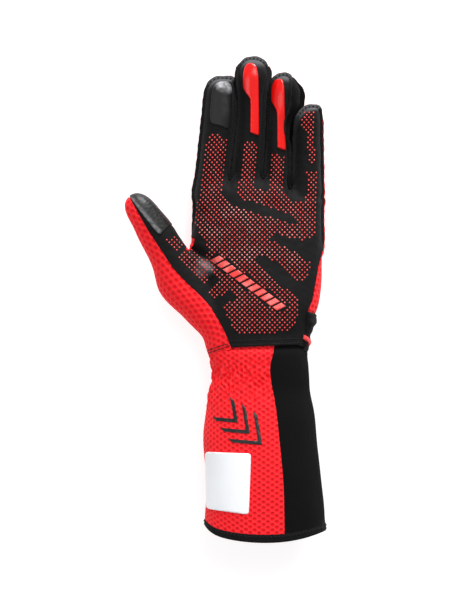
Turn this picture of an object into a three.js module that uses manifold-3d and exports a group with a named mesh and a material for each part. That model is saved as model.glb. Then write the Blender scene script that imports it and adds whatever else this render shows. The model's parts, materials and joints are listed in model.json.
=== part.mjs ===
// A left-hand karting glove lying on its back with the palm up, in millimetres.
// +X runs across the hand towards the little finger, +Y towards the fingertips and +Z out of the palm.
// While it is built, the wrist seam lies on y = 0 and the floor is z = 0.
// The finished group is moved so that the origin is the centre of the glove's footprint on the floor.
import * as THREE from "three";
import { mergeVertices } from "three/addons/utils/BufferGeometryUtils.js";
import Module from "manifold-3d";

const wasm = await Module();
wasm.setup();

// Sizes of the hand
const palmLength = 114; // wrist seam to the crotch of the middle finger
const palmWidth = 94.5; // over the knuckles, outside seams included
const palmDepth = 43; // back to palm at the wrist seam
const fingerLength = 88.5; // crotch to tip of the middle finger
const fingerDepth = 23; // back to front at a finger's root
const fingerRise = 9; // how far the middle fingertip curls up towards the palm side
const fingerGap = 0.7; // between neighbouring fingers
const thumbLength = 108; // heel of the thumb to its tip
const thumbWidth = 33; // over the ball of the thumb
const thumbDepth = 34;
const thumbAngle = 123; // degrees from +X to the thumb's axis

// Sizes of the cloth and its seams
const shellWall = 1.6; // palm leather and back mesh
const panelGap = 0.3; // between two panels at a seam
const weltReach = 2.1; // how far the outside seams stand out
const weltThickness = 1.3;
const fourchetteHeight = 7; // side strips between the fingers

// Sizes of the cuff
const cuffLength = 137; // wrist seam to the lowest point of the hem
const hemWidth = 85.4;
const hemDepth = 58;
const cuffWall = 2;
const gatherHeight = 1.0; // ripples where the wrist elastic gathers the mesh
const gatherCount = 20; // ripples round the whole wrist
const bindingHeight = 5;
const bindingWall = 1.1;

// Sizes of what is laid on the shell
const patchWall = 1.2; // touch patches, grips and number panel
const numberCorner = 2.4; // radius of the number panel's corners
const strapWidth = 23; // wrist strap along the hand
const strapWall = 1.5;

const radians = Math.PI / 180;

// Rows of numbers under named columns.
function table(columns, rows) {
  const names = columns.split(" ");
  return rows.map((row) => Object.fromEntries(names.map((name, i) => [name, row[i]])));
}

// Sections of the palm. at: share of palmLength. left, right: shares of palmWidth.
// floor, top, seam: shares of palmDepth. round: superellipse exponent.
// weltLeft, weltRight: shares of weltReach.
const palmSections = table("at left right floor top seam round weltLeft weltRight", [
  [0, -0.385, 0.375, 0.085, 1, 0.5, 2.2, 0, 0],
  [0.12, -0.398, 0.397, 0.085, 1, 0.49, 2.3, 0, 0],
  [0.22, -0.415, 0.422, 0.06, 0.99, 0.475, 2.4, 0, 0],
  [0.34, -0.435, 0.458, -0.01, 0.97, 0.455, 2.4, 0, 0],
  [0.48, -0.462, 0.476, -0.05, 0.935, 0.43, 2.5, 0, 0.5],
  [0.64, -0.49, 0.492, -0.06, 0.88, 0.4, 2.6, 0, 1],
  [0.83, -0.49, 0.504, -0.05, 0.77, 0.36, 2.7, 1, 1],
  [0.98, -0.476, 0.503, 0, 0.61, 0.33, 2.6, 1, 1],
  [1.03, -0.45, 0.48, 0.08, 0.5, 0.33, 2.3, 1, 1],
]);
const rootAt = 0.84; // share of palmLength where the fingers' own seams begin
const crotchDrop = 0.1; // how much lower the little finger's crotch lies, as a share of palmLength
const crotchLine = { from: 0.05, to: 0.42 }; // shares of palmWidth between which the crotches drop

// Lines between the fingers, from the outside of the index to the outside of the little finger.
// root, tip: shares of palmWidth at the crotch and at laneAt of the finger length.
const laneAt = 0.65;
const lanes = [
  { root: -0.476, tip: -0.408 },
  { root: -0.203, tip: -0.171 },
  { root: 0.045, tip: 0.096 },
  { root: 0.248, tip: 0.337 },
  { root: 0.505, tip: 0.487 },
];

// reach: share of fingerLength beyond the crotch. depth: share of fingerDepth at the root and near the tip.
// rise: share of fingerRise. roll: degrees that the pad turns towards the thumb.
// lean: how far the round tip leans towards the little side, as a share of the finger's width.
const fingers = [
  { name: "index", reach: 0.841, depthRoot: 1, depthTip: 0.9, rise: 0.8, roll: -6, lean: 0.13 },
  { name: "middle", reach: 1, depthRoot: 1.02, depthTip: 0.92, rise: 1, roll: 3, lean: -0.07 },
  { name: "ring", reach: 0.868, depthRoot: 1, depthTip: 0.9, rise: 0.95, roll: 17, lean: -0.24 },
  { name: "little", reach: 0.62, depthRoot: 0.95, depthTip: 0.82, rise: 0.7, roll: 5, lean: 0 },
];
const rootStations = [-0.2, -0.05]; // where a finger starts inside the palm, as shares of fingerLength
const fingerStations = [0.08, 0.34, 0.66]; // shares of a finger's reach, below its round tip
const domeStations = [0, 0.4, 0.7, 0.9, 0.99]; // shares of the round tip's length
const domeLength = 0.62; // round tip's length as a share of the finger's width
const domeWidthAt = 0.8; // share of a finger's reach where the width for its round tip is read
const domeRound = 2.3; // superellipse exponents: of the round tips, the fingers' sections and the thumb's
const fingerRound = 2.2;
const thumbRound = 2.15;
const curlPower = 1.6; // over 1, a finger curls more towards its tip
const rollBy = 0.6; // share of the reach where a finger has its whole roll
const stripEnds = { from: -0.12, full: 0.1, fade: 0.72, end: 0.96 }; // where a side strip swells and closes
const rootWelt = 0.9; // thickness of the outside seams below the crotches, as a share of weltThickness
const laneSpill = 0.7; // how far a finger's cutter reaches out of its lane, as a share of fingerGap
const pastTip = 1.1; // cutters end here along a finger or the thumb

// Sections of the thumb. along: share of thumbLength. bow: sideways shift as a share of thumbWidth.
// width, depth: shares of thumbWidth and thumbDepth. height: share of palmDepth.
// pad: degrees that the pad faces from +Z towards the index.
const thumbSections = [
  { along: -0.14, bow: 0.1, width: 0.5, depth: 0.6, height: 0.5, pad: 105 },
  { along: 0, bow: 0, width: 0.72, depth: 0.9, height: 0.5, pad: 105 },
  { along: 0.16, bow: 0, width: 0.86, depth: 1, height: 0.5, pad: 100 },
  { along: 0.36, bow: -0.07, width: 1, depth: 0.94, height: 0.51, pad: 92 },
  { along: 0.56, bow: -0.01, width: 0.81, depth: 0.78, height: 0.57, pad: 76 },
  { along: 0.72, bow: -0.01, width: 0.77, depth: 0.7, height: 0.63, pad: 66 },
  { along: 0.86, bow: -0.03, width: 0.67, depth: 0.6, height: 0.68, pad: 63 },
];
const thumbHeel = { x: -0.311, y: 0.123 }; // shares of palmWidth and palmLength
const thumbDome = 0.14; // round tip's length as a share of thumbLength

// Edges of the palm leather. y: share of palmLength. left, right: shares of palmWidth.
// left follows the seam over the ball of the thumb, right the mesh that wraps round the little side.
const palmEdges = [
  { y: -0.02, left: -0.188, right: 0.345 },
  { y: 0.08, left: -0.237, right: 0.355 },
  { y: 0.16, left: -0.289, right: 0.367 },
  { y: 0.233, left: -0.341, right: 0.39 },
  { y: 0.307, left: -0.422, right: 0.418 },
  { y: 0.384, left: -0.523, right: 0.434 },
  { y: 0.473, left: -0.622, right: 0.455 },
  { y: 0.477, left: -0.56, right: 0.456 },
  { y: 0.616, left: -0.56, right: 0.484 },
  { y: 0.68, left: -0.56, right: 0.56 },
  { y: 0.8405, left: -0.56, right: 0.56 },
];

// Sections of the cuff below the wrist seam. at: share of the way to the hem.
// left, right: shares of hemWidth. floor, top: shares of hemDepth. gather: share of gatherHeight.
// seam: where the stretch panel begins, as a share of hemWidth.
const cuffSections = table("at left right floor top gather seam", [
  [0.003, -0.426, 0.426, 0.063, 0.741, 0.2, 0.145],
  [0.05, -0.402, 0.412, 0.075, 0.76, 0.8, 0.128],
  [0.1, -0.386, 0.414, 0.085, 0.765, 1, 0.108],
  [0.165, -0.373, 0.422, 0.07, 0.775, 1, 0.11],
  [0.235, -0.402, 0.434, 0.04, 0.8, 0.7, 0.13],
  [0.33, -0.418, 0.462, 0, 0.85, 0.25, 0.156],
  [0.46, -0.44, 0.488, -0.03, 0.9, 0, 0.178],
  [0.7, -0.425, 0.525, -0.04, 0.965, 0, 0.212],
  [1, -0.418, 0.55, 0.03, 1, 0, 0.226],
]);
const cuffRound = 2.1;
const underSeam = -48; // degrees from +X to the stretch panel's seam under the cuff
// The hem isn't level: how far its sides and underside end short of its lowest point,
// in shares of cuffLength.
const hemShort = { thumbSide: 0.066, outerSide: 0.056, under: 0.1 };

// Outlines of the laid-on pieces seen from above, in shares of the finger they lie on:
// x: share of the finger's half width from its middle line. y: share of its reach.
const indexPatch = table("x y", [
  [-0.33, 0.556], [0.66, 0.51], [0.7, 0.62], [0.7, 0.8], [0.62, 0.88],
  [0.36, 0.935], [0.02, 0.93], [-0.28, 0.87], [-0.41, 0.78], [-0.41, 0.64],
]);
const middleGrip = table("x y", [
  [0.04, 0.393], [0.4, 0.365], [0.5, 0.4], [0.36, 0.8], [0.17, 0.9],
  [-0.12, 0.937], [-0.38, 0.885], [-0.55, 0.82], [-0.46, 0.729], [-0.08, 0.64],
]);
const ringGrip = table("x y", [
  [-0.1, 0.315], [0.26, 0.283], [0.34, 0.32], [-0.04, 0.767], [-0.2, 0.88],
  [-0.42, 0.93], [-0.6, 0.88], [-0.69, 0.82], [-0.63, 0.727], [-0.38, 0.62],
]);
// Where the touch patch on the thumb starts, as a share of thumbLength, and how far it stays off the seam.
const thumbPatch = { from: 0.69, offSeam: 3.5 };
// The number panel on the cuff. from, to: degrees from +X. top, bottom: shares of cuffLength.
const numberPanel = { from: 102, to: 168, top: 0.55, bottom: 0.862, columns: 10 };
// The wrist strap and its tab. from, to: degrees from +X round the wrist. start: mm from the wrist seam.
const strap = { from: 10, to: -112, start: 1, columns: 16 };
const strapTab = { from: 30, to: 14, start: 0.8, length: 7.5, columns: 3 };

const cornerSteps = [0, 0.3, 1]; // rows round a corner of the number panel, as shares of its radius
const sleeveColumns = 48;
const stretchColumns = 12;
const bindingColumns = 32;
const ringPoints = 26;
const fingerPoints = 12;
const thumbPoints = 16;
const padPoints = 20; // round the whole of the thumb's cutter, of which half is used
const padReach = 1.3; // the thumb's cutter is this much larger than the thumb
const overshoot = 60; // cutters reach this far past what they cut
const wristOverlap = 6; // how far the palm's hollow runs out past the wrist seam
const mergeStep = 1e-4; // points closer than this are one
const slivers = { tolerances: [0.04, 0.02], merge: 4e-3 }; // what a cut solid's slivers are cleaned with

// A value read off a table at a place between its rows.
function readTable(rows, column, key, place) {
  let i = 0;
  while (i < rows.length - 2 && rows[i + 1][key] < place) i += 1;
  const low = rows[i];
  const high = rows[i + 1];
  const t = (place - low[key]) / (high[key] - low[key]);
  return low[column] + (high[column] - low[column]) * t;
}

const signedPower = (value, power) => Math.sign(value) * Math.abs(value) ** power;

// A point of a superellipse in its own plane, at an angle in radians.
function ellipsePoint(halfWidth, halfDepth, round, angle) {
  return [
    halfWidth * signedPower(Math.cos(angle), 2 / round),
    halfDepth * signedPower(Math.sin(angle), 2 / round),
  ];
}

function angles(count) {
  return Array.from({ length: count }, (_, i) => (2 * Math.PI * i) / count);
}

// A solid through closed rings of equally many points, closed by a fan at each end.
function loft(rings) {
  const count = rings[0].length;
  const positions = [];
  const index = [];
  for (const ring of rings) for (const p of ring) positions.push(p.x, p.y, p.z);
  for (let i = 0; i < rings.length - 1; i += 1) {
    for (let j = 0; j < count; j += 1) {
      const a = i * count + j;
      const b = i * count + ((j + 1) % count);
      index.push(a, b + count, b, a, a + count, b + count);
    }
  }
  for (const [row, flip] of [[0, false], [rings.length - 1, true]]) {
    const middle = rings[row].reduce((sum, p) => sum.add(p), new THREE.Vector3()).divideScalar(count);
    const centre = positions.length / 3;
    positions.push(middle.x, middle.y, middle.z);
    for (let j = 0; j < count; j += 1) {
      const a = row * count + j;
      const b = row * count + ((j + 1) % count);
      if (flip) index.push(centre, b, a);
      else index.push(centre, a, b);
    }
  }
  return toSolid(positions, index);
}

// A closed solid between an outer and an inner grid of points.
function sheetSolid(outer, inner) {
  const rows = outer.length;
  const columns = outer[0].length;
  const positions = [];
  const index = [];
  for (const row of [...outer, ...inner]) for (const p of row) positions.push(p.x, p.y, p.z);
  const outerAt = (i, j) => i * columns + j;
  const innerAt = (i, j) => rows * columns + outerAt(i, j);
  const quad = (a, b, c, d) => index.push(a, b, c, a, c, d);
  const last = columns - 1;
  for (let i = 0; i < rows - 1; i += 1) {
    for (let j = 0; j < last; j += 1) {
      quad(outerAt(i, j), outerAt(i, j + 1), outerAt(i + 1, j + 1), outerAt(i + 1, j));
      quad(innerAt(i, j), innerAt(i + 1, j), innerAt(i + 1, j + 1), innerAt(i, j + 1));
    }
  }
  for (let j = 0; j < last; j += 1) {
    quad(outerAt(0, j), innerAt(0, j), innerAt(0, j + 1), outerAt(0, j + 1));
    quad(outerAt(rows - 1, j), outerAt(rows - 1, j + 1), innerAt(rows - 1, j + 1), innerAt(rows - 1, j));
  }
  for (let i = 0; i < rows - 1; i += 1) {
    quad(outerAt(i, 0), outerAt(i + 1, 0), innerAt(i + 1, 0), innerAt(i, 0));
    quad(outerAt(i, last), innerAt(i, last), innerAt(i + 1, last), outerAt(i + 1, last));
  }
  return toSolid(positions, index);
}

// A closed ring-shaped solid through sections that follow one another round a loop.
function sweepLoop(sections) {
  const count = sections[0].length;
  const positions = [];
  const index = [];
  for (const section of sections) for (const p of section) positions.push(p.x, p.y, p.z);
  for (let i = 0; i < sections.length; i += 1) {
    const next = (i + 1) % sections.length;
    for (let j = 0; j < count; j += 1) {
      const k = (j + 1) % count;
      const [a, b, c, d] = [i * count + j, i * count + k, next * count + k, next * count + j];
      index.push(a, b, c, a, c, d);
    }
  }
  return toSolid(positions, index);
}

// A manifold solid from plain arrays, turned the right way out.
function toSolid(positions, index) {
  const geometry = new THREE.BufferGeometry();
  geometry.setAttribute("position", new THREE.Float32BufferAttribute(positions, 3));
  geometry.setIndex(index);
  const merged = mergeVertices(geometry, mergeStep);
  const vertProperties = merged.attributes.position.array;
  const triVerts = new Uint32Array(merged.index.array);
  const build = () => new wasm.Manifold(new wasm.Mesh({ numProp: 3, vertProperties, triVerts }));
  const solid = build();
  if (solid.volume() >= 0) return solid;
  triVerts.reverse();
  return build();
}

const union = (solids) => solids.reduce((all, solid) => all.add(solid));

// An upright prism over an outline in the XY plane, made from three.js's own extrusion.
function prism(outline, low, high) {
  const shape = new THREE.Shape(outline.map(([x, y]) => new THREE.Vector2(x, y)));
  const geometry = new THREE.ExtrudeGeometry(shape, { depth: high - low, bevelEnabled: false });
  geometry.translate(0, 0, low);
  geometry.deleteAttribute("normal");
  geometry.deleteAttribute("uv");
  const merged = mergeVertices(geometry, mergeStep);
  return toSolid(Array.from(merged.attributes.position.array), Array.from(merged.index.array));
}

const block = (x0, x1, y0, y1, z0, z1) => prism([[x0, y0], [x1, y0], [x1, y1], [x0, y1]], z0, z1);

// The y of a place along the palm: the last sections lean back towards the little finger.
function palmY(at, x) {
  const lean = THREE.MathUtils.smoothstep(x, crotchLine.from * palmWidth, crotchLine.to * palmWidth);
  return palmLength * (at - crotchDrop * lean * THREE.MathUtils.smoothstep(at, rootAt, 1));
}

// A point of a palm section. grow is negative for the hollow; the body stays inside the outside seams.
function palmSectionPoint(row, angle, grow) {
  const left = row.left * palmWidth + row.weltLeft * weltReach - grow;
  const right = row.right * palmWidth - row.weltRight * weltReach + grow;
  const low = row.floor * palmDepth - grow;
  const high = row.top * palmDepth + grow;
  const [across, up] = ellipsePoint((right - left) / 2, (high - low) / 2, row.round, angle);
  const x = (left + right) / 2 + across;
  return new THREE.Vector3(x, palmY(row.at, x), Math.max((low + high) / 2 + up, -grow));
}

const palmRing = (row, grow) => angles(ringPoints).map((angle) => palmSectionPoint(row, angle, grow));

// A point between two sections of a table, on the straight line that joins them.
function betweenSections(rows, at, pointOf) {
  const last = rows.length - 1;
  const i = Math.min(Math.max(rows.findIndex((row) => row.at > at), 1), last);
  const upper = at >= rows[last].at ? last : i;
  const t = (at - rows[upper - 1].at) / (rows[upper].at - rows[upper - 1].at);
  return pointOf(rows[upper - 1]).lerp(pointOf(rows[upper]), Math.min(t, 1));
}

const palmPoint = (at, angle, grow) =>
  betweenSections(palmSections, at, (row) => palmSectionPoint(row, angle, grow));

function palmBody(grow) {
  const rings = palmSections.map((row) => palmRing(row, grow));
  if (grow < 0) rings.unshift(rings[0].map((p) => new THREE.Vector3(p.x, -wristOverlap, p.z)));
  if (grow < 0) for (const p of rings.at(-1)) p.y += grow;
  return loft(rings);
}

const palmSeamHeight = (at) => readTable(palmSections, "seam", "at", at) * palmDepth;

// The seam allowance that stands out of the palm's two sides, on both sides of the seam.
function palmWelt() {
  const from = palmSections.findIndex((row) => row.weltLeft + row.weltRight > 0);
  const reach = panelGap / 2 + weltThickness;
  const rings = palmSections.slice(from - 1, -1).map((row) => {
    const seam = row.seam * palmDepth;
    const left = row.left * palmWidth;
    const right = row.right * palmWidth;
    return [[left, -1], [right, -1], [right, 1], [left, 1]].map(
      ([x, side]) => new THREE.Vector3(x, palmY(row.at, x), seam + side * reach),
    );
  });
  return loft(rings);
}

function laneX(lane, y) {
  const share = (y - palmLength) / (laneAt * fingerLength);
  return (lane.root + (lane.tip - lane.root) * share) * palmWidth;
}

// Where a finger is at a share of its reach: its middle, half width, half depth and roll.
function fingerPlace(finger, share) {
  const number = fingers.indexOf(finger);
  const y = palmLength + share * finger.reach * fingerLength;
  const left = laneX(lanes[number], y) + fingerGap / 2;
  const right = laneX(lanes[number + 1], y) - fingerGap / 2;
  const climb = Math.max(share, 0);
  const laneWidth = palmWidth / fingers.length;
  const domeFrom = 1 - (domeLength * laneWidth) / (finger.reach * fingerLength);
  const inDome = Math.max(share - domeFrom, 0) / (1 - domeFrom);
  return {
    y,
    left,
    right,
    x: (left + right) / 2 + finger.lean * (right - left) * inDome ** 2,
    z: palmSeamHeight(1) + finger.rise * fingerRise * climb ** curlPower,
    halfWidth: (right - left) / 2,
    halfDepth: (fingerDepth / 2) * (finger.depthRoot + (finger.depthTip - finger.depthRoot) * climb),
    roll: finger.roll * radians * THREE.MathUtils.smoothstep(share, 0, rollBy),
  };
}

// Shares of a finger's reach where its rings lie, and how much each ring is drawn in.
function fingerProfile(finger, tipPull = 0) {
  const reach = finger.reach * fingerLength;
  const dome = (domeLength * 2 * fingerPlace(finger, domeWidthAt).halfWidth) / reach;
  const tip = 1 - tipPull / reach;
  const roots = rootStations.map((share) => share / finger.reach);
  const below = [...roots, ...fingerStations].map((share) => ({ share, draw: 1 }));
  const round = domeStations.map((share) => ({
    share: tip - dome * (1 - share),
    draw: (1 - share ** domeRound) ** (1 / domeRound),
  }));
  return [...below, ...round];
}

// A finger's tube. grow is negative for the hollow and positive for what is laid on it.
function fingerBody(finger, grow) {
  const rings = fingerProfile(finger, weltReach - grow).map(({ share, draw }) => {
    const place = fingerPlace(finger, share);
    const halfWidth = (place.halfWidth - weltReach + grow) * draw;
    const halfDepth = (place.halfDepth + grow) * draw;
    return angles(fingerPoints).map((angle) => {
      const [across, up] = ellipsePoint(halfWidth, halfDepth, fingerRound, angle);
      return new THREE.Vector3(
        place.x + across * Math.cos(place.roll) - up * Math.sin(place.roll),
        place.y,
        Math.max(place.z + across * Math.sin(place.roll) + up * Math.cos(place.roll), -grow),
      );
    });
  });
  return loft(rings);
}

// Half the height of the side strip at each side of a finger: none on the outsides of the hand.
function stripHeights(finger, share) {
  const number = fingers.indexOf(finger);
  const opened = THREE.MathUtils.smoothstep(share, stripEnds.from, stripEnds.full);
  const closed = THREE.MathUtils.smoothstep(share, stripEnds.fade, stripEnds.end);
  const half = (fourchetteHeight / 2) * opened * (1 - closed);
  return { left: number > 0 ? half : 0, right: number < fingers.length - 1 ? half : 0 };
}

// Height of a finger's seam at x: side is 1 for the palm-side seam and -1 for the back seam.
function fingerSeamHeight(finger, share, x, side) {
  const place = fingerPlace(finger, share);
  const strip = stripHeights(finger, share);
  const t = (x - place.left) / (place.right - place.left);
  const half = strip.left + (strip.right - strip.left) * t;
  return place.z + (x - place.x) * Math.tan(place.roll) + side * half;
}

// The outside seam round one finger: a thin plate that follows the seam and stands out past the tube.
function fingerWelt(finger, side) {
  const rings = fingerProfile(finger).map(({ share, draw }) => {
    const place = fingerPlace(finger, share);
    const thickness = weltThickness * (share < 0 ? rootWelt : 1);
    return [[-1, -1], [1, -1], [1, 1], [-1, 1]].map(([across, up]) => {
      const x = place.x + across * place.halfWidth * draw;
      const seam = fingerSeamHeight(finger, share, x, side);
      return new THREE.Vector3(x, place.y, seam + side * (panelGap + thickness * (1 + up)) / 2);
    });
  });
  return loft(rings);
}

// Everything above a finger's seam, inside its own lane.
function aboveFinger(finger, side, shift) {
  const stations = [...fingerProfile(finger).map(({ share }) => share), pastTip];
  const start = (palmLength * (rootAt - 1)) / (finger.reach * fingerLength);
  const shares = [start, ...stations.filter((share) => share > start)];
  const rings = shares.map((share) => {
    const place = fingerPlace(finger, share);
    const left = place.left - laneSpill * fingerGap;
    const right = place.right + laneSpill * fingerGap;
    const blend = THREE.MathUtils.smoothstep(share, start, 0);
    return [[left, 0], [right, 0], [right, 1], [left, 1]].map(([x, top]) => {
      const root = palmSeamHeight(share > start ? 1 : rootAt);
      const seam = root + (fingerSeamHeight(finger, share, x, side) - root) * blend;
      return new THREE.Vector3(x, place.y, top ? seam + overshoot : seam + shift);
    });
  });
  return loft(rings);
}

// A frame across the thumb: middle, direction to the index side, up, and half sizes.
function thumbPlace(along) {
  const read = (column) => readTable(thumbSections, column, "along", along);
  const axis = new THREE.Vector3(Math.cos(thumbAngle * radians), Math.sin(thumbAngle * radians), 0);
  const across = new THREE.Vector3(axis.y, -axis.x, 0);
  const up = new THREE.Vector3(0, 0, 1);
  const middle = new THREE.Vector3(thumbHeel.x * palmWidth, thumbHeel.y * palmLength, 0)
    .addScaledVector(axis, along * thumbLength)
    .addScaledVector(across, read("bow") * thumbWidth)
    .addScaledVector(up, read("height") * palmDepth);
  return {
    middle,
    across,
    up,
    halfWidth: (read("width") * thumbWidth) / 2,
    halfDepth: (read("depth") * thumbDepth) / 2,
    pad: read("pad") * radians,
  };
}

function thumbProfile(grow) {
  const start = 1 - thumbDome;
  const length = thumbDome + grow / thumbLength;
  const below = thumbSections.filter(({ along }) => along < start).map(({ along }) => ({ along, draw: 1 }));
  const round = domeStations.map((share) => ({
    along: start + length * share,
    draw: (1 - share ** domeRound) ** (1 / domeRound),
  }));
  return [...below, ...round];
}

function thumbBody(grow) {
  const rings = thumbProfile(grow).map(({ along, draw }) => {
    const place = thumbPlace(along);
    const halfWidth = (place.halfWidth + grow) * draw;
    const halfDepth = (place.halfDepth + grow) * draw;
    return angles(thumbPoints).map((angle) => {
      const [across, up] = ellipsePoint(halfWidth, halfDepth, thumbRound, angle);
      const p = place.middle.clone().addScaledVector(place.across, across).addScaledVector(place.up, up);
      p.z = Math.max(p.z, -grow);
      return p;
    });
  });
  return loft(rings);
}

// The half of the thumb on its pad's side, a little larger than the thumb. shift moves its flat side.
function padHalf(shift, from = thumbSections[0].along, margin = -shift) {
  const flat = 0.01;
  const half = angles(padPoints).slice(0, padPoints / 2 + 1);
  const stations = thumbSections.map((row) => row.along).filter((along) => along > from);
  const rings = [from, ...stations, pastTip].map((along) => {
    const place = thumbPlace(along);
    const { across, up, pad } = place;
    const toPad = across.clone().multiplyScalar(Math.sin(pad)).addScaledVector(up, Math.cos(pad));
    const toSeam = across.clone().multiplyScalar(-Math.cos(pad)).addScaledVector(up, Math.sin(pad));
    const reach = padReach * Math.max(place.halfWidth, place.halfDepth) + margin;
    return half.map((angle) =>
      place.middle.clone()
        .addScaledVector(toSeam, reach * Math.cos(angle))
        .addScaledVector(toPad, Math.sin(angle) > flat ? reach * Math.sin(angle) : shift),
    );
  });
  return loft(rings);
}

// Everything above the palm's side seam and between the edges of its leather.
function abovePalm(shift) {
  const rings = palmEdges.map(({ y, left, right }) => {
    const z = palmSeamHeight(Math.max(y, 0)) + shift;
    const from = left * palmWidth + shift;
    const to = right * palmWidth - shift;
    return [[from, z], [to, z], [to, z + overshoot], [from, z + overshoot]].map(
      ([x, height]) => new THREE.Vector3(x, y * palmLength, height),
    );
  });
  return loft(rings);
}

const outerBodies = [palmBody(0), ...fingers.map((finger) => fingerBody(finger, 0)), thumbBody(0)];
const hollows = [
  palmBody(-shellWall),
  ...fingers.map((finger) => fingerBody(finger, -shellWall)),
  thumbBody(-shellWall),
];
const behindWrist = block(-2 * palmWidth, 2 * palmWidth, -overshoot, 0, -overshoot, 2 * palmDepth);
const outerHand = union(outerBodies).subtract(behindWrist);
const hollow = union(hollows);
const shell = outerHand.subtract(hollow);

// Everything on the palm side of a seam. side picks the palm-side or the back seam where the two part.
function palmSide(side, shift) {
  const thumbPart = padHalf(shift).subtract(palmBody(shift));
  return union([abovePalm(shift), ...fingers.map((finger) => aboveFinger(finger, side, shift)), thumbPart]);
}

const halfGap = panelGap / 2;
const frontCut = palmSide(1, halfGap);
const backCut = palmSide(-1, -halfGap);
const withWelts = (side) =>
  union([outerHand, palmWelt(), ...fingers.map((finger) => fingerWelt(finger, side))]).subtract(hollow);

// The largest body of a cut solid, with slivers merged away.
function largest(solid) {
  let body = solid;
  for (const tolerance of slivers.tolerances) {
    const mesh = body.simplify(tolerance).getMesh();
    const geometry = new THREE.BufferGeometry();
    geometry.setAttribute("position", new THREE.BufferAttribute(mesh.vertProperties, mesh.numProp));
    geometry.setIndex(new THREE.BufferAttribute(mesh.triVerts, 1));
    const merged = mergeVertices(geometry, slivers.merge);
    const whole = toSolid(Array.from(merged.attributes.position.array), Array.from(merged.index.array));
    body = whole.decompose().sort((a, b) => b.volume() - a.volume())[0];
  }
  return body;
}

const palmPanel = largest(withWelts(1).intersect(frontCut));
const backPanel = largest(withWelts(-1).subtract(backCut));
const strips = shell.intersect(palmSide(-1, halfGap)).subtract(palmSide(1, -halfGap))
  .decompose()
  .sort((a, b) => b.volume() - a.volume())
  .slice(0, fingers.length - 1)
  .sort((a, b) => a.boundingBox().min[0] - b.boundingBox().min[0]);

// What is laid on a finger: a layer over its tube, inside an outline given in shares of the finger.
function onFinger(finger, outline) {
  const layer = fingerBody(finger, panelGap + patchWall).subtract(fingerBody(finger, panelGap));
  const corners = outline.map(({ x, y }) => {
    const place = fingerPlace(finger, y);
    return [place.x + x * place.halfWidth, place.y];
  });
  const low = fingerPlace(finger, 0.5).z;
  return largest(layer.intersect(prism(corners, low, low + overshoot)));
}

const thumbLayer = thumbBody(panelGap + patchWall).subtract(thumbBody(panelGap));
const thumbTouch = largest(thumbLayer.intersect(padHalf(thumbPatch.offSeam, thumbPatch.from, patchWall)));

// A point of a cuff section at an angle round it.
function cuffSectionPoint(row, angle, offset, gathers) {
  const ripple = gathers ? gatherHeight * row.gather * Math.cos(gatherCount * angle) : 0;
  const grow = offset + ripple / 2;
  const left = row.left * hemWidth - grow;
  const right = row.right * hemWidth + grow;
  const low = row.floor * hemDepth - grow;
  const high = row.top * hemDepth + grow;
  const [across, up] = ellipsePoint((right - left) / 2, (high - low) / 2, cuffRound, angle);
  const side = Math.cos(angle) < 0 ? hemShort.thumbSide : hemShort.outerSide;
  const under = Math.min(Math.sin(angle), 0) ** 2 * hemShort.under;
  const short = (side * Math.cos(angle) ** 2 + under) * row.at ** 2;
  return new THREE.Vector3(
    (left + right) / 2 + across,
    -cuffLength * row.at * (1 - short),
    Math.max((low + high) / 2 + up, -offset, 0),
  );
}

const cuffPoint = (angle, at, offset, gathers = true) =>
  betweenSections(cuffSections, at, (row) => cuffSectionPoint(row, angle, offset, gathers));

// The angle at which the seam between sleeve and stretch panel runs over the cuff's palm side.
function cuffSeamAngle(at) {
  const read = (column) => readTable(cuffSections, column, "at", at);
  const middle = (read("left") + read("right")) / 2;
  const share = (read("seam") - middle) / ((read("right") - read("left")) / 2);
  return Math.acos(signedPower(share, cuffRound / 2));
}

// Part of the cuff between two angles, each a function of the place along the cuff.
function cuffSector(from, to, columns, gathers) {
  const grid = (offset) =>
    cuffSections.map(({ at }) =>
      Array.from({ length: columns + 1 }, (_, i) => {
        const start = from(at);
        return cuffPoint(start + ((to(at) - start) * i) / columns, at, offset, gathers);
      }),
    );
  return sheetSolid(grid(0), grid(-cuffWall));
}

const seamStep = panelGap / hemWidth; // half a panel gap as an angle round the cuff
const fullTurn = 2 * Math.PI;
const sleeve = cuffSector(
  (at) => cuffSeamAngle(at) + seamStep,
  () => fullTurn + underSeam * radians - seamStep,
  sleeveColumns,
  true,
);
const stretchPanel = cuffSector(
  () => underSeam * radians + seamStep,
  (at) => cuffSeamAngle(at) - seamStep,
  stretchColumns,
  false,
);

// A band of U section round the hem. Its section runs in steps of offset and distance up from the hem.
function hemBand() {
  const outside = panelGap + bindingWall;
  const inside = -cuffWall - panelGap;
  const below = -panelGap - bindingWall;
  const section = [
    [panelGap, bindingHeight], [outside, bindingHeight],
    [outside, below], [inside - bindingWall, below],
    [inside - bindingWall, bindingHeight], [inside, bindingHeight],
    [inside, -panelGap], [panelGap, -panelGap],
  ];
  const rings = angles(bindingColumns).map((angle) =>
    section.map(([offset, rise]) => {
      const p = cuffPoint(angle, 1 - Math.max(rise, 0) / cuffLength, offset, false);
      p.y += Math.min(rise, 0);
      return p;
    }),
  );
  return sweepLoop(rings);
}

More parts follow.
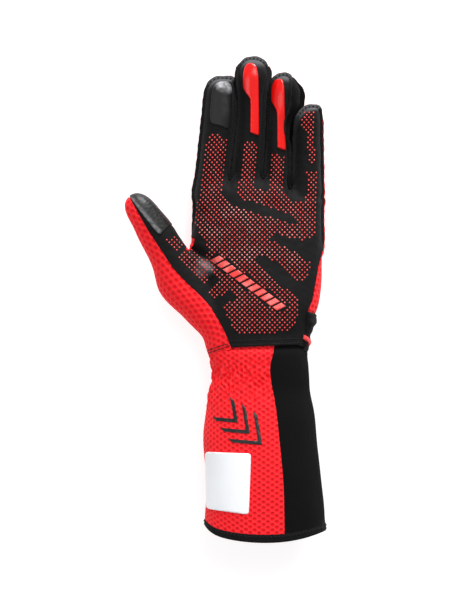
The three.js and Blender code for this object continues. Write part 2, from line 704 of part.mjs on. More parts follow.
// A rectangle with rounded corners laid on the cuff.
function numberPatch() {
  const { from, to, top, bottom, columns } = numberPanel;
  const middle = ((from + to) / 2) * radians;
  const halfTurn = ((to - from) / 2) * radians;
  const height = (bottom - top) * cuffLength;
  const arc = cuffPoint(middle, top, 0).distanceTo(cuffPoint(middle + halfTurn / 4, top, 0)) * 4;
  const steps = cornerSteps.map((t) => t * numberCorner);
  const between = cuffSections.filter(({ at }) => at > top && at < bottom);
  const crossed = between.map(({ at }) => (at - top) * cuffLength);
  const heights = [...steps, ...crossed, ...steps.map((t) => height - t).reverse()];
  const grid = (offset) =>
    heights.map((fromTop) => {
      const fromEdge = Math.max(numberCorner - Math.min(fromTop, height - fromTop), 0);
      const inset = numberCorner - Math.sqrt(numberCorner ** 2 - fromEdge ** 2);
      const reach = halfTurn * (1 - inset / arc);
      return Array.from({ length: columns + 1 }, (_, i) =>
        cuffPoint(middle + reach * ((2 * i) / columns - 1), top + fromTop / cuffLength, offset, false),
      );
    });
  return sheetSolid(grid(panelGap + patchWall), grid(panelGap));
}

// A strip laid round the wrist end of the palm, with a row of points at each section it crosses.
function onWrist({ from, to, start, columns }, length) {
  const sections = palmSections.map(({ at }) => at * palmLength);
  const crossed = sections.filter((y) => y > start && y < start + length);
  const rows = [start, ...crossed, start + length];
  const grid = (grow) =>
    rows.map((y) =>
      Array.from({ length: columns + 1 }, (_, j) => {
        const angle = (from + ((to - from) * j) / columns) * radians;
        return palmPoint(y / palmLength, angle, grow);
      }),
    );
  return sheetSolid(grid(panelGap + strapWall), grid(panelGap));
}

const materials = {
  suede: new THREE.MeshStandardMaterial({ color: 0x1b1b1b, roughness: 0.9, metalness: 0 }),
  redMesh: new THREE.MeshStandardMaterial({ color: 0xf0141e, roughness: 0.75, metalness: 0 }),
  knit: new THREE.MeshStandardMaterial({ color: 0x111114, roughness: 0.85, metalness: 0 }),
  silicone: new THREE.MeshStandardMaterial({ color: 0xf21a1a, roughness: 0.3, metalness: 0 }),
  touch: new THREE.MeshStandardMaterial({ color: 0x1c1e20, roughness: 0.32, metalness: 0 }),
  binding: new THREE.MeshStandardMaterial({ color: 0x0e0e10, roughness: 0.7, metalness: 0 }),
  white: new THREE.MeshStandardMaterial({ color: 0xf4f5fa, roughness: 0.4, metalness: 0 }),
};

const glove = new THREE.Group();

// Adds a solid to the glove as a named mesh.
function addPiece(name, solid, material) {
  const mesh = solid.getMesh();
  const positions = new Float32Array(mesh.numVert * 3);
  for (let i = 0; i < mesh.numVert; i += 1) {
    positions.set(mesh.vertProperties.subarray(i * mesh.numProp, i * mesh.numProp + 3), i * 3);
  }
  const geometry = new THREE.BufferGeometry();
  geometry.setAttribute("position", new THREE.BufferAttribute(positions, 3));
  geometry.setIndex(new THREE.BufferAttribute(mesh.triVerts, 1));
  const piece = new THREE.Mesh(geometry, materials[material]);
  piece.name = name;
  glove.add(piece);
  return piece;
}

addPiece("palm_panel", palmPanel, "suede");
addPiece("back_panel", backPanel, "redMesh");
strips.forEach((strip, i) => {
  addPiece(`fourchette_${fingers[i].name}_${fingers[i + 1].name}`, largest(strip), "knit");
});
const [indexFinger, middleFinger, ringFinger] = fingers;
addPiece("index_tip_patch", onFinger(indexFinger, indexPatch), "touch");
addPiece("thumb_tip_patch", thumbTouch, "touch");
addPiece("middle_grip", onFinger(middleFinger, middleGrip), "silicone");
addPiece("ring_grip", onFinger(ringFinger, ringGrip), "silicone");
addPiece("cuff_sleeve", sleeve, "redMesh");
addPiece("cuff_stretch_panel", stretchPanel, "knit");
addPiece("hem_binding", hemBand(), "binding");
addPiece("number_panel", numberPatch(), "white");
addPiece("wrist_strap", onWrist(strap, strapWidth), "knit");
addPiece("strap_tab", onWrist(strapTab, strapTab.length), "redMesh");

const bounds = new THREE.Box3().setFromObject(glove);
const middle = bounds.getCenter(new THREE.Vector3());
glove.position.set(-middle.x, -middle.y, -bounds.min.z);

export default glove;
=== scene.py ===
# A left-hand karting glove on its back, palm up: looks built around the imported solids.
import json
import math
import bpy
import numpy as np
import openvdb
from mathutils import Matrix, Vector
from mathutils.bvhtree import BVHTree
from mathutils.geometry import barycentric_transform

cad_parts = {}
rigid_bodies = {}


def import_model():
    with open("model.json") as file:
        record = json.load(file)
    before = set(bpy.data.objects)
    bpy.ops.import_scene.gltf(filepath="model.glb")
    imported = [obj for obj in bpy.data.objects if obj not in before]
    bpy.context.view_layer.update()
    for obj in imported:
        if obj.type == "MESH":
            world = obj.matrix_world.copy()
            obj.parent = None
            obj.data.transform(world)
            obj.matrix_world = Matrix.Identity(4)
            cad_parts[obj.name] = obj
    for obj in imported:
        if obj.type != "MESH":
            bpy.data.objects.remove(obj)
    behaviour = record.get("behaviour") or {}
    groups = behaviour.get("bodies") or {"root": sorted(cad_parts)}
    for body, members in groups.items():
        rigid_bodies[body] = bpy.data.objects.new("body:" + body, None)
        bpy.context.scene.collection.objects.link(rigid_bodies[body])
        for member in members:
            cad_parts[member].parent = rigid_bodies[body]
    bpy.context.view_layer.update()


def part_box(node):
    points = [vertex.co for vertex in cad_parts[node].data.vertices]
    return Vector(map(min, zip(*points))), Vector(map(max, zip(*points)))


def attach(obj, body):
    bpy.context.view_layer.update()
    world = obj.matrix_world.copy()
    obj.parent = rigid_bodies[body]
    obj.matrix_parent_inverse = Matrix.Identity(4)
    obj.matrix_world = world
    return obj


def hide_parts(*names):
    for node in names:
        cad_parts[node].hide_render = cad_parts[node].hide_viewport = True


for leftover in list(bpy.data.objects):
    bpy.data.objects.remove(leftover)
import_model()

mm = 0.001
# Everything below is worked out in mm from the middle of the wrist seam, then moved into the frame.
wristAcross = 22.52  # the thumb reaches far to one side, so the wrist isn't in the middle of the frame
wrist = np.array([wristAcross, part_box("palm_panel")[0].y / mm, 0.0])
# The photo: mm to a pixel, its rows, and the place of the wrist seam's middle
photo = {"pixel": 0.7, "rows": 600, "wristX": 257, "wristY": 345}


# Small helpers for numbers

def fromPhoto(points):
    points = np.array(points, float)
    x = (points[:, 0] - photo["wristX"]) * photo["pixel"]
    y = (photo["wristY"] - points[:, 1]) * photo["pixel"]
    return np.stack([x, y], 1)


def table(columns, rows):
    return {name: np.array([row[i] for row in rows], float) for i, name in enumerate(columns.split())}


def smooth(value, low, high):
    t = np.clip((value - low) / (high - low), 0, 1)
    return t * t * (3 - 2 * t)


def smoothLow(a, b, reach):  # the lower of two fields, rounded where they meet
    h = np.maximum(reach - np.abs(a - b), 0) / reach
    return np.minimum(a, b) - h * h * reach / 4


def read(rows, column, place, key="at"):  # a value off a table, on a smooth curve through its rows
    xs, ys = rows[key], rows[column]
    slopes = np.gradient(ys, xs)
    place = np.clip(place, xs[0], xs[-1])
    i = np.clip(np.searchsorted(xs, place) - 1, 0, len(xs) - 2)
    width = xs[i + 1] - xs[i]
    t = (place - xs[i]) / width
    low = (1 + 2 * t) * (1 - t) ** 2 * ys[i] + t * (1 - t) ** 2 * width * slopes[i]
    high = t * t * (3 - 2 * t) * ys[i + 1] - t * t * (1 - t) * width * slopes[i + 1]
    return low + high


def power(value, exponent):
    return np.sign(value) * np.abs(value) ** exponent


def closedCurve(points, steps=6):  # a smooth closed curve through a few points
    points = np.asarray(points, float)
    before, after, beyond = np.roll(points, 1, 0), np.roll(points, -1, 0), np.roll(points, -2, 0)
    t = (np.arange(steps) / steps)[None, :, None]
    a, b, c, d = (p[:, None, :] for p in (before, points, after, beyond))
    curve = b + 0.5 * t * (c - a + t * (2 * a - 5 * b + 4 * c - d + t * (3 * (b - c) + d - a)))
    return curve.reshape(-1, points.shape[1])


def insideOutline(outline, points):  # distance to a closed outline in plan, above zero inside it
    x, y = points[:, 0], points[:, 1]
    best = np.full(len(points), 1e9)
    inside = np.zeros(len(points), bool)
    for (x0, y0), (x1, y1) in zip(outline, np.roll(outline, -1, 0)):
        dx, dy = x1 - x0, y1 - y0
        t = np.clip(((x - x0) * dx + (y - y0) * dy) / max(dx * dx + dy * dy, 1e-9), 0, 1)
        best = np.minimum(best, np.hypot(x - x0 - t * dx, y - y0 - t * dy))
        crosses = (y0 > y) != (y1 > y)
        inside ^= crosses & (x < dx * (y - y0) / (dy if dy else 1e-9) + x0)
    return np.where(inside, best, -best)


# The form of the hand, as in the solids

hand = {
    "palmLength": 114, "palmWidth": 94.5, "palmDepth": 43,
    "fingerLength": 88.5, "fingerDepth": 23, "fingerRise": 9, "fingerCurl": 1.6,
    "fingerGap": 0.7, "fingerRound": 2.2, "rollOver": 0.6,
    "thumbLength": 108, "thumbWidth": 33, "thumbDepth": 34, "thumbAngle": 123, "thumbRound": 2.15,
    "seamReach": 2.1, "tipRim": 0.6, "rootAt": 0.84, "rootUnder": 0.2, "laneAt": 0.65,
    "crotchDrop": 0.1, "crotchFrom": 0.05, "crotchTo": 0.42,
    "domeLength": 0.62, "domeWidthAt": 0.8, "domeRound": 2.3, "thumbDome": 0.14,
    "wall": 1.3, "panelGap": 0.3,
}
palmSections = table("at left right floor top seam round seamLeft seamRight", [
    (-0.1, -0.345, 0.372, 0.09, 1, 0.5, 2.2, 0, 0),
    (0, -0.385, 0.378, 0.085, 1, 0.5, 2.2, 0, 0),
    (0.12, -0.398, 0.394, 0.085, 1, 0.49, 2.3, 0, 0),
    (0.22, -0.415, 0.446, 0.06, 0.98, 0.475, 2.4, 0, 0),
    (0.34, -0.435, 0.475, -0.01, 0.94, 0.455, 2.4, 0, 0),
    (0.48, -0.462, 0.484, -0.05, 0.89, 0.43, 2.5, 0, 0.1),
    (0.64, -0.486, 0.503, -0.06, 0.82, 0.4, 2.6, 0, 1),
    (0.83, -0.48, 0.499, -0.05, 0.71, 0.36, 2.7, 1, 1),
    (0.98, -0.469, 0.499, 0, 0.61, 0.33, 2.6, 1, 1),
    (1.03, -0.45, 0.48, 0.08, 0.5, 0.33, 2.3, 1, 1),
])
lanes = {"root": [-0.472, -0.203, 0.045, 0.248, 0.505], "tip": [-0.41, -0.171, 0.096, 0.337, 0.494]}
# How far a lane bends off its straight line, in mm; the little fingertip lies over the ring finger's side
laneBends = {
    1: table("at bend", [(110, 0), (130, 0.9), (142, 1.7), (156, 2.8), (172, 2.4), (189, 0), (200, 0)]),
    2: table("at bend", [(110, 0), (142, -0.6), (164, -1.5), (175, -1.7), (190, -0.4), (200, 0)]),
    3: table("at bend", [
        (120, 0), (134, -1.5), (146, -3.1), (158, -3.1), (167, 0.8), (172, 0.8), (178, 0), (184, -1.1),
        (189, -1.2), (196, 0),
    ]),
}
# strips: how far the front and back seams stand off the middle at each side, in mm;
# fade: where along the finger they close again towards its tip
fingers = [
    {"name": "index", "reach": 0.846, "deep": (1, 0.9), "rise": 0.8, "roll": -6,
     "lean": 0.2, "blunt": 3.9, "strips": (0, 3.5), "fade": (0.72, 0.96)},
    {"name": "middle", "reach": 1, "deep": (1.02, 0.92), "rise": 1, "roll": 3,
     "lean": -0.07, "blunt": 2.3, "strips": (3.5, 3.5), "fade": (0.72, 0.96)},
    {"name": "ring", "reach": 0.871, "deep": (1, 0.9), "rise": 0.95, "roll": 17,
     "lean": -0.13, "blunt": 2.6, "strips": (3.5, 3.5), "fade": (0.86, 1.04)},
    {"name": "little", "reach": 0.62, "deep": (0.95, 0.82), "rise": 0.7, "roll": 5,
     "lean": 0.0, "blunt": 4.3, "strips": (3.5, 0), "fade": (0.72, 0.96)},
]
# The ring finger shows its side, so its front seam climbs there, by places across and along the finger
ringLift = {"height": 12, "across": (0.56, 0.74), "along": (0.3, 0.62)}
# The outer sides of the index and little fingers run on into the palm, without a step
outerRun = {"slope": 0.25, "from": 0.07, "side": 0.9}
blends = {"fingers": 4.0, "thumb": 5.0, "web": 2.5, "floor": 2.0}  # how softly forms meet, in mm
thumbSections = table("along bow width depth height", [
    (-0.14, 0.1, 0.5, 0.6, 0.5),
    (0, 0, 0.72, 0.9, 0.5),
    (0.16, -0.03, 0.9, 1, 0.5),
    (0.36, -0.09, 1.04, 0.94, 0.51),
    (0.56, -0.02, 0.82, 0.78, 0.57),
    (0.72, 0.005, 0.76, 0.7, 0.63),
    (0.86, 0.005, 0.64, 0.6, 0.68),
    (1, -0.015, 0.59, 0.54, 0.7),
])
thumbHeel = (-0.311, 0.123)
thumbSeamDrop = 4.5  # the thumb's inner seam runs this far under its middle
thumbSlope = {"at": (-85, -20), "slope": (0.72, 0.86)}  # its outer seam runs aslant
farOut = 200  # mm, further than the glove reaches
# Edges of the palm leather in the photo: over the ball of the thumb, and along the little side
thumbSeam = fromPhoto([
    (126.5, 193), (129, 196), (139, 214), (148, 230), (160, 248), (173, 268), (186.5, 282.5), (200, 295),
    (211, 307), (218, 319), (225, 332), (231, 347), (233, 356),
])
littleEdge = fromPhoto([
    (335, 225), (326, 237.5), (322.3, 244.6), (319.6, 261.6), (314.3, 290), (312.5, 300), (307.9, 310.5),
    (306, 330), (303.5, 356),
])
# Between thumb and index: a gusset of red mesh, in places of the photo, and the small bump of skin under
# it, which is placed there too but has its sizes in mm
webGusset = {"middle": (190.4, 244.2), "half": (2.9, 7.4), "turn": -24}
web = {"middle": (191.9, 246.0), "height": 19, "radius": 1.2, "tall": 7}
# Soft creases and ridges of the palm, above zero where they stand out. They fade away below a height
# in mm, and towards the ends of their lines
foldReach = {"above": 18, "fade": 8, "start": 0.15, "run": 0.7}
folds = [
    {"from": (231.0, 169), "to": (229.5, 187), "height": -3.2, "width": 1.5, "above": 9},
    {"from": (263.8, 167), "to": (263.0, 183), "height": -2.6, "width": 1.5, "above": 9},
    {"from": (290.5, 176), "to": (288.8, 200), "height": -3.0, "width": 1.6, "above": 9},
    {"from": (188, 254), "to": (211, 273), "height": 2.3, "width": 2.8},
    {"from": (193, 247), "to": (217, 267), "height": -2.3, "width": 2.6},
    {"from": (203, 239), "to": (240, 214), "height": -0.6, "width": 5.0},
    {"from": (214, 306), "to": (205, 286), "height": -0.8, "width": 4.0},
    {"from": (246, 196), "to": (300, 213), "height": -0.8, "width": 5.0},
    {"from": (262, 256), "to": (300, 282), "height": -0.5, "width": 6.0},
    {"from": (235, 336), "to": (303, 333), "height": -0.5, "width": 4.0},
]


# Distance in mm to a tube of superellipse section; end runs from 0 to 1 over a round tip.
def superField(across, up, halfWidth, halfDepth, exponent, end=None, endLength=1.0, endRound=2.0):
    a, b = np.abs(across) / halfWidth, np.abs(up) / halfDepth
    r = np.maximum((a ** exponent + b ** exponent) ** (1 / exponent), 1e-3)
    steep = ((a / r) ** (exponent - 1) / halfWidth) ** 2 + ((b / r) ** (exponent - 1) / halfDepth) ** 2
    if end is None:
        return (r - 1) / np.sqrt(steep)
    whole = (r ** endRound + end ** endRound) ** (1 / endRound)
    steep = (r / whole) ** (2 * endRound - 2) * steep + ((end / whole) ** (endRound - 1) / endLength) ** 2
    return (whole - 1) / np.sqrt(steep)


def palmAt(x, y):
    lean = smooth(x, hand["crotchFrom"] * hand["palmWidth"], hand["crotchTo"] * hand["palmWidth"])
    at = y / hand["palmLength"]
    for _ in range(4):
        at = y / hand["palmLength"] + hand["crotchDrop"] * lean * smooth(at, hand["rootAt"], 1)
    return at


def palmField(x, y, z):
    at = palmAt(x, y)
    left = read(palmSections, "left", at) * hand["palmWidth"]
    left = left + read(palmSections, "seamLeft", at) * hand["seamReach"]
    right = read(palmSections, "right", at) * hand["palmWidth"]
    right = right - read(palmSections, "seamRight", at) * hand["seamReach"]
    low = read(palmSections, "floor", at) * hand["palmDepth"]
    high = read(palmSections, "top", at) * hand["palmDepth"]
    section = superField(x - (left + right) / 2, z - (low + high) / 2, (right - left) / 2, (high - low) / 2,
                         read(palmSections, "round", at))
    return np.maximum(section, (at - palmSections["at"][-1]) * hand["palmLength"])


def laneX(number, y):
    share = (y - hand["palmLength"]) / (hand["laneAt"] * hand["fingerLength"])
    root, tip = lanes["root"][number], lanes["tip"][number]
    lane = (root + (tip - root) * share) * hand["palmWidth"]
    if number in laneBends:
        lane = lane + read(laneBends[number], "bend", y)
    return lane


def fingerPlace(number, y):  # where a finger's middle is at y, and its half sizes and roll
    finger = fingers[number]
    reach = finger["reach"] * hand["fingerLength"]
    share = (y - hand["palmLength"]) / reach
    left = laneX(number, y) + hand["fingerGap"] / 2
    right = laneX(number + 1, y) - hand["fingerGap"] / 2
    climb = np.maximum(share, 0)
    domeFrom = 1 - hand["domeLength"] * hand["palmWidth"] / (4 * reach)
    aside = finger["lean"] * (right - left) * np.maximum(share - domeFrom, 0) ** 2 / (1 - domeFrom) ** 2
    rise = finger["rise"] * hand["fingerRise"] * climb ** hand["fingerCurl"]
    deepRoot, deepTip = finger["deep"]
    return {
        "share": share, "left": left, "right": right, "reach": reach,
        "x": (left + right) / 2 + aside,
        "z": palmSections["seam"][-1] * hand["palmDepth"] + rise,
        "halfWidth": (right - left) / 2,
        "halfDepth": hand["fingerDepth"] / 2 * (deepRoot + (deepTip - deepRoot) * climb),
        "roll": np.radians(finger["roll"]) * smooth(share, 0, hand["rollOver"]),
    }


def fingerField(number, x, y, z):
    place = fingerPlace(number, y)
    nearTip = np.array([hand["palmLength"] + hand["domeWidthAt"] * place["reach"]])
    dome = hand["domeLength"] * 2 * np.mean(fingerPlace(number, nearTip)["halfWidth"])
    tip = place["reach"] - hand["seamReach"] - hand["tipRim"]
    end = np.maximum((y - hand["palmLength"] - tip) / dome + 1, 0)
    across = (x - place["x"]) * np.cos(place["roll"]) + (z - place["z"]) * np.sin(place["roll"])
    up = (z - place["z"]) * np.cos(place["roll"]) - (x - place["x"]) * np.sin(place["roll"])
    tube = superField(across, up, place["halfWidth"] - hand["seamReach"], place["halfDepth"],
                      hand["fingerRound"], end, dome, fingers[number]["blunt"])
    root = hand["palmLength"] - hand["rootUnder"] * hand["fingerLength"] - y
    if number in (0, 3):
        side = (x - place["x"]) / place["halfWidth"] * (1 if number else -1)
        gentle = outerRun["slope"] * (hand["palmLength"] - outerRun["from"] * hand["fingerLength"] - y)
        root = root + (np.maximum(root, gentle) - root) * smooth(side, 0, outerRun["side"])
    return np.maximum(tube, root)


def thumbPlace(x, y):  # place along the thumb as a share of its length, and distance across it
    angle = np.radians(hand["thumbAngle"])
    dx, dy = x - thumbHeel[0] * hand["palmWidth"], y - thumbHeel[1] * hand["palmLength"]
    along = (dx * np.cos(angle) + dy * np.sin(angle)) / hand["thumbLength"]
    bow = read(thumbSections, "bow", along, "along") * hand["thumbWidth"]
    across = dx * np.sin(angle) - dy * np.cos(angle) - bow
    return along, across


def thumbField(x, y, z):
    along, across = thumbPlace(x, y)
    end = np.maximum((along - 1) / hand["thumbDome"] + 1, 0)
    tube = superField(across, z - read(thumbSections, "height", along, "along") * hand["palmDepth"],
                      read(thumbSections, "width", along, "along") * hand["thumbWidth"] / 2,
                      read(thumbSections, "depth", along, "along") * hand["thumbDepth"] / 2,
                      hand["thumbRound"], end, hand["thumbDome"] * hand["thumbLength"], hand["domeRound"])
    return np.maximum(tube, (thumbSections["along"][0] - along) * hand["thumbLength"])


def foldHeight(x, y, z):
    height = 0
    for fold in folds:
        (x0, y0), (x1, y1) = fromPhoto([fold["from"], fold["to"]])
        dx, dy = x1 - x0, y1 - y0
        t = np.clip(((x - x0) * dx + (y - y0) * dy) / (dx * dx + dy * dy), 0, 1)
        near = np.hypot(x - x0 - t * dx, y - y0 - t * dy)
        along = foldReach["start"] + foldReach["run"] * t
        rise = fold["height"] * np.exp(-(near / fold["width"]) ** 2) * np.sin(np.pi * along)
        above = fold.get("above", foldReach["above"])
        height = height + rise * smooth(z, above, above + foldReach["fade"])
    return height


def handField(x, y, z):  # distance in mm to the skin of the glove's hand, below zero inside
    tubes = fingerField(0, x, y, z)
    for number in (1, 2, 3):
        tubes = np.minimum(tubes, fingerField(number, x, y, z))
    skin = smoothLow(palmField(x, y, z), tubes, blends["fingers"])
    skin = smoothLow(skin, thumbField(x, y, z), blends["thumb"])
    webX, webY = fromPhoto([web["middle"]])[0]
    up = (z - web["height"]) * web["radius"] / web["tall"]
    between = np.sqrt((x - webX) ** 2 + (y - webY) ** 2 + up ** 2)
    skin = smoothLow(skin, between - web["radius"], blends["web"])
    skin = skin - foldHeight(x, y, z)
    return -smoothLow(-skin, z, blends["floor"])  # flattened where it rests on the floor


# The seams between the panels

# Heights of the front and back seams; between the fingers they part to leave a side strip.
def seamHeights(x, y):
    front = read(palmSections, "seam", palmAt(x, y)) * hand["palmDepth"]
    back = front.copy()
    number = sum((x > laneX(i, y)).astype(int) for i in (1, 2, 3))
    for i, finger in enumerate(fingers):
        place = fingerPlace(i, y)
        share, t = place["share"], (x - place["left"]) / (place["right"] - place["left"])
        swell = smooth(share, -0.12, 0.1) * (1 - smooth(share, *finger["fade"]))
        left, right = finger["strips"]
        strip = (left + (right - left) * np.clip(t, 0, 1)) * swell
        middle = place["z"] + (x - place["x"]) * np.tan(place["roll"])
        lift = 0
        if finger["name"] == "ring":
            lift = ringLift["height"] * smooth(t, *ringLift["across"]) * smooth(share, *ringLift["along"])
        start = hand["palmLength"] * (hand["rootAt"] - 1) / place["reach"]
        blend = smooth(share, start, 0)
        mine = number == i
        front = np.where(mine, front + (middle + strip + lift - front) * blend, front)
        back = np.where(mine, back + (middle - strip - back) * blend, back)
    return front, back


def thumbShare(x, y, z, low, high):  # from 0 on the palm to 1 on the thumb
    return smooth(palmField(x, y, z) - thumbField(x, y, z), low, high)


def thumbSeamHeight(along):
    return read(thumbSections, "height", along, "along") * hand["palmDepth"] - thumbSeamDrop


# Distances inside the front panel, the back panel and the strips between the fingers.
def zones(points):
    x, y, z = points.T
    front, back = seamHeights(x, y)
    along, _ = thumbPlace(x, y)
    isThumb = thumbShare(x, y, z, -3, 4)
    thumbHeight = thumbSeamHeight(along)
    front = front + (thumbHeight - front) * isThumb
    back = back + (thumbHeight - back) * isThumb
    leftEdge = np.interp(-y, -thumbSeam[:, 1], thumbSeam[:, 0])
    rightEdge = np.interp(-y, -littleEdge[:, 1], littleEdge[:, 0])
    slope = np.interp(-y, thumbSlope["at"], thumbSlope["slope"])
    leftEdge = np.where(y > thumbSeam[0, 1], -farOut, leftEdge)  # no seam beyond the thumb's tip
    (gx, gy), turn = fromPhoto([webGusset["middle"]])[0], np.radians(webGusset["turn"])
    gu = (x - gx) * np.cos(turn) + (y - gy) * np.sin(turn)
    gv = (y - gy) * np.cos(turn) - (x - gx) * np.sin(turn)
    half = np.array(webGusset["half"]) * photo["pixel"]
    gusset = (np.hypot(gu / half[0], gv / half[1]) - 1) * half[0]
    plan = np.minimum.reduce([(x - leftEdge) * slope, rightEdge - x, gusset])
    return {
        "front": np.minimum(z - front, plan),
        "back": np.maximum(back - z, -plan),
        "strip": np.minimum(np.minimum(front - z, z - back), plan),
    }


# Meshes out of fields

# The surface where a field is zero, as points and triangles.
def carve(field, low, high, step):
    axes = [np.arange(a, b, step) for a, b in zip(low, high)]
    values = field(axes[0][:, None, None], axes[1][None, :, None], axes[2][None, None, :]).astype(np.float32)
    grid = openvdb.FloatGrid(100.0)
    grid.copyFromArray(np.ascontiguousarray(values))
    points, quads = grid.convertToQuads(0.0)
    points = np.asarray(points, float) * step + np.array(low, float)
    triangles = splitQuads(np.asarray(quads, int))
    a, b, c = (points[triangles[:, i]] for i in range(3))
    if np.einsum("ij,ij->i", a, np.cross(b, c)).sum() < 0:
        triangles = triangles[:, ::-1]
    return points, triangles


def splitQuads(quads):
    return np.vstack([quads[:, [0, 1, 2]], quads[:, [0, 2, 3]]])


# The part of a mesh where values are above zero, with a clean edge. Gives its points, triangles and values.
def cut(points, triangles, values):
    values = np.where(np.abs(values) < 1e-5, 1e-5, values)
    above = values > 0
    flags = above[triangles]
    count = flags.sum(1)
    mixed = (count == 1) | (count == 2)
    whole = triangles[count == 3]
    flags, corners = flags[mixed], triangles[mixed]
    lone = flags.sum(1) == 1
    odd = np.where(lone, flags.argmax(1), (~flags).argmax(1))
    a, b, c = np.take_along_axis(corners, (odd[:, None] + np.arange(3)) % 3, 1).T
    edges = np.sort(np.vstack([np.stack([a, b], 1), np.stack([a, c], 1)]), 1)
    edges, back = np.unique(edges, axis=0, return_inverse=True)
    back = back.ravel()
    t = (values[edges[:, 0]] / (values[edges[:, 0]] - values[edges[:, 1]]))[:, None]
    crossing = points[edges[:, 0]] * (1 - t) + points[edges[:, 1]] * t
    ab, ac = back[: len(a)] + len(points), back[len(a):] + len(points)
    pieces = [
        whole, np.stack([a, ab, ac], 1)[lone],
        np.stack([ab, b, c], 1)[~lone], np.stack([ab, c, ac], 1)[~lone],
    ]
    points = np.vstack([points, crossing])
    values = np.concatenate([values, np.zeros(len(crossing))])
    return compact(points, np.vstack(pieces), values)


def compact(points, triangles, *others):
    used, renumbered = np.unique(triangles, return_inverse=True)
    return (points[used], renumbered.reshape(triangles.shape), *(other[used] for other in others))


# Merges points that nearly meet, and drops the slivers between them.
def tidyMesh(points, triangles, near=0.06, *others):
    key = np.round(points / near).astype(np.int64)
    _, first, back = np.unique(key, axis=0, return_index=True, return_inverse=True)
    triangles = first[back.ravel()][triangles]
    a, b, c = triangles.T
    return compact(points, triangles[(a != b) & (b != c) & (a != c)], *others)


def largestPart(points, triangles):
    label = np.arange(len(points))
    while True:
        low = label[triangles].min(1)
        new = label.copy()
        for i in range(3):
            np.minimum.at(new, triangles[:, i], low)
        new = new[new]
        if (new == label).all():
            break
        label = new
    counts = np.bincount(label[triangles[:, 0]])
    return compact(points, triangles[label[triangles[:, 0]] == counts.argmax()])


# Directed edges that belong to one triangle only.
def borderEdges(triangles):
    edges = np.vstack([triangles[:, [0, 1]], triangles[:, [1, 2]], triangles[:, [2, 0]]])
    size = triangles.max() + 1
    here, there = edges[:, 0] * size + edges[:, 1], edges[:, 1] * size + edges[:, 0]
    return edges[~np.isin(here, there)]


def borderLoops(triangles, shortest=30):
    following = dict(borderEdges(triangles).tolist())
    loops = []
    while following:
        start, here = following.popitem()
        loop = [start]
        while here in following:
            loop.append(here)
            here = following.pop(here)
        if len(loop) >= shortest:
            loops.append(np.array(loop))
    return loops


def normalsOf(points, step=0.4):  # outward from the skin of the hand
    normals = np.empty_like(points)
    for axis in range(3):
        shift = np.zeros(3)
        shift[axis] = step
        ahead, behind = points + shift, points - shift
        normals[:, axis] = handField(*ahead.T) - handField(*behind.T)
    return normals / np.maximum(np.linalg.norm(normals, axis=1, keepdims=True), 1e-9)


# Each triangle in four; anything that goes with the points is averaged too.
def subdivide(points, triangles, *others):
    edges = np.vstack([triangles[:, [0, 1]], triangles[:, [1, 2]], triangles[:, [2, 0]]])
    edges, back = np.unique(np.sort(edges, 1), axis=0, return_inverse=True)
    middle = back.ravel().reshape(3, -1) + len(points)
    ab, bc, ca = middle
    a, b, c = triangles.T
    finer = np.vstack([np.stack(t, 1) for t in ((a, ab, ca), (b, bc, ab), (c, ca, bc), (ab, bc, ca))])
    halved = [np.concatenate([v, (v[edges[:, 0]] + v[edges[:, 1]]) / 2]) for v in (points, *others)]
    return (halved[0], finer, *halved[1:])


# A closed wall whose outer layer is the finer, subdivided one
def lined(outer, finer, inner, coarse):
    edges = np.sort(np.vstack([coarse[:, [0, 1]], coarse[:, [1, 2]], coarse[:, [2, 0]]]), 1)
    edges = np.unique(edges, axis=0)
    size, n = len(inner), len(outer)
    i, j = borderEdges(coarse).T
    keys = edges[:, 0] * size + edges[:, 1]
    middle = np.searchsorted(keys, np.minimum(i, j) * size + np.maximum(i, j)) + size
    rim = [np.stack(t, 1) for t in ((i + n, middle, i), (i + n, j + n, middle), (j + n, j, middle))]
    return np.vstack([outer, inner]), np.vstack([finer, coarse[:, ::-1] + n, *rim])


def ontoSkin(points):
    for _ in range(2):
        points = points - normalsOf(points) * handField(*points.T)[:, None]
    return points


# A closed wall between two layers of the same triangles.
def thicken(outer, inner, triangles):
    edges = borderEdges(triangles)
    n = len(outer)
    i, j = edges.T
    rim = splitQuads(np.stack([j, i, i + n, j + n], 1))
    return np.vstack([outer, inner]), np.vstack([triangles, triangles[:, ::-1] + n, rim])


def joined(*parts):
    start, points, triangles = 0, [], []
    for p, t in parts:
        points.append(p)
        triangles.append(t + start)
        start += len(p)
    return np.vstack(points), np.vstack(triangles)


def gridFaces(rows, columns):
    i, j = np.meshgrid(np.arange(rows - 1), np.arange(columns - 1), indexing="ij")
    here = i * columns + j
    return np.stack([here, here + 1, here + 1 + columns, here + columns], -1).reshape(-1, 4)


def ringFaces(count, size):  # the faces of a closed tube, from rings of points that follow each other
    i, j = np.meshgrid(np.arange(count), np.arange(size), indexing="ij")
    ring, following, beside = i * size, (i + 1) % count * size, (j + 1) % size
    return np.stack([ring + j, ring + beside, following + beside, following + j], -1).reshape(-1, 4)


# Points at even steps along a path.
def evenly(path, spacing, closed=False):
    path = np.vstack([path, path[:1]]) if closed else path
    lengths = np.concatenate([[0], np.cumsum(np.linalg.norm(np.diff(path, axis=0), axis=1))])
    count = max(int(round(lengths[-1] / spacing)), 2)
    places = np.linspace(0, lengths[-1], count + 1)[: count if closed else count + 1]
    return np.stack([np.interp(places, lengths, path[:, k]) for k in range(path.shape[1])], 1)


def relaxed(path, times):
    for _ in range(times):
        path = path * 0.5 + (np.roll(path, 1, 0) + np.roll(path, -1, 0)) * 0.25
    return path


# Objects out of meshes

floorGap = 0.02  # nothing sinks into the floor


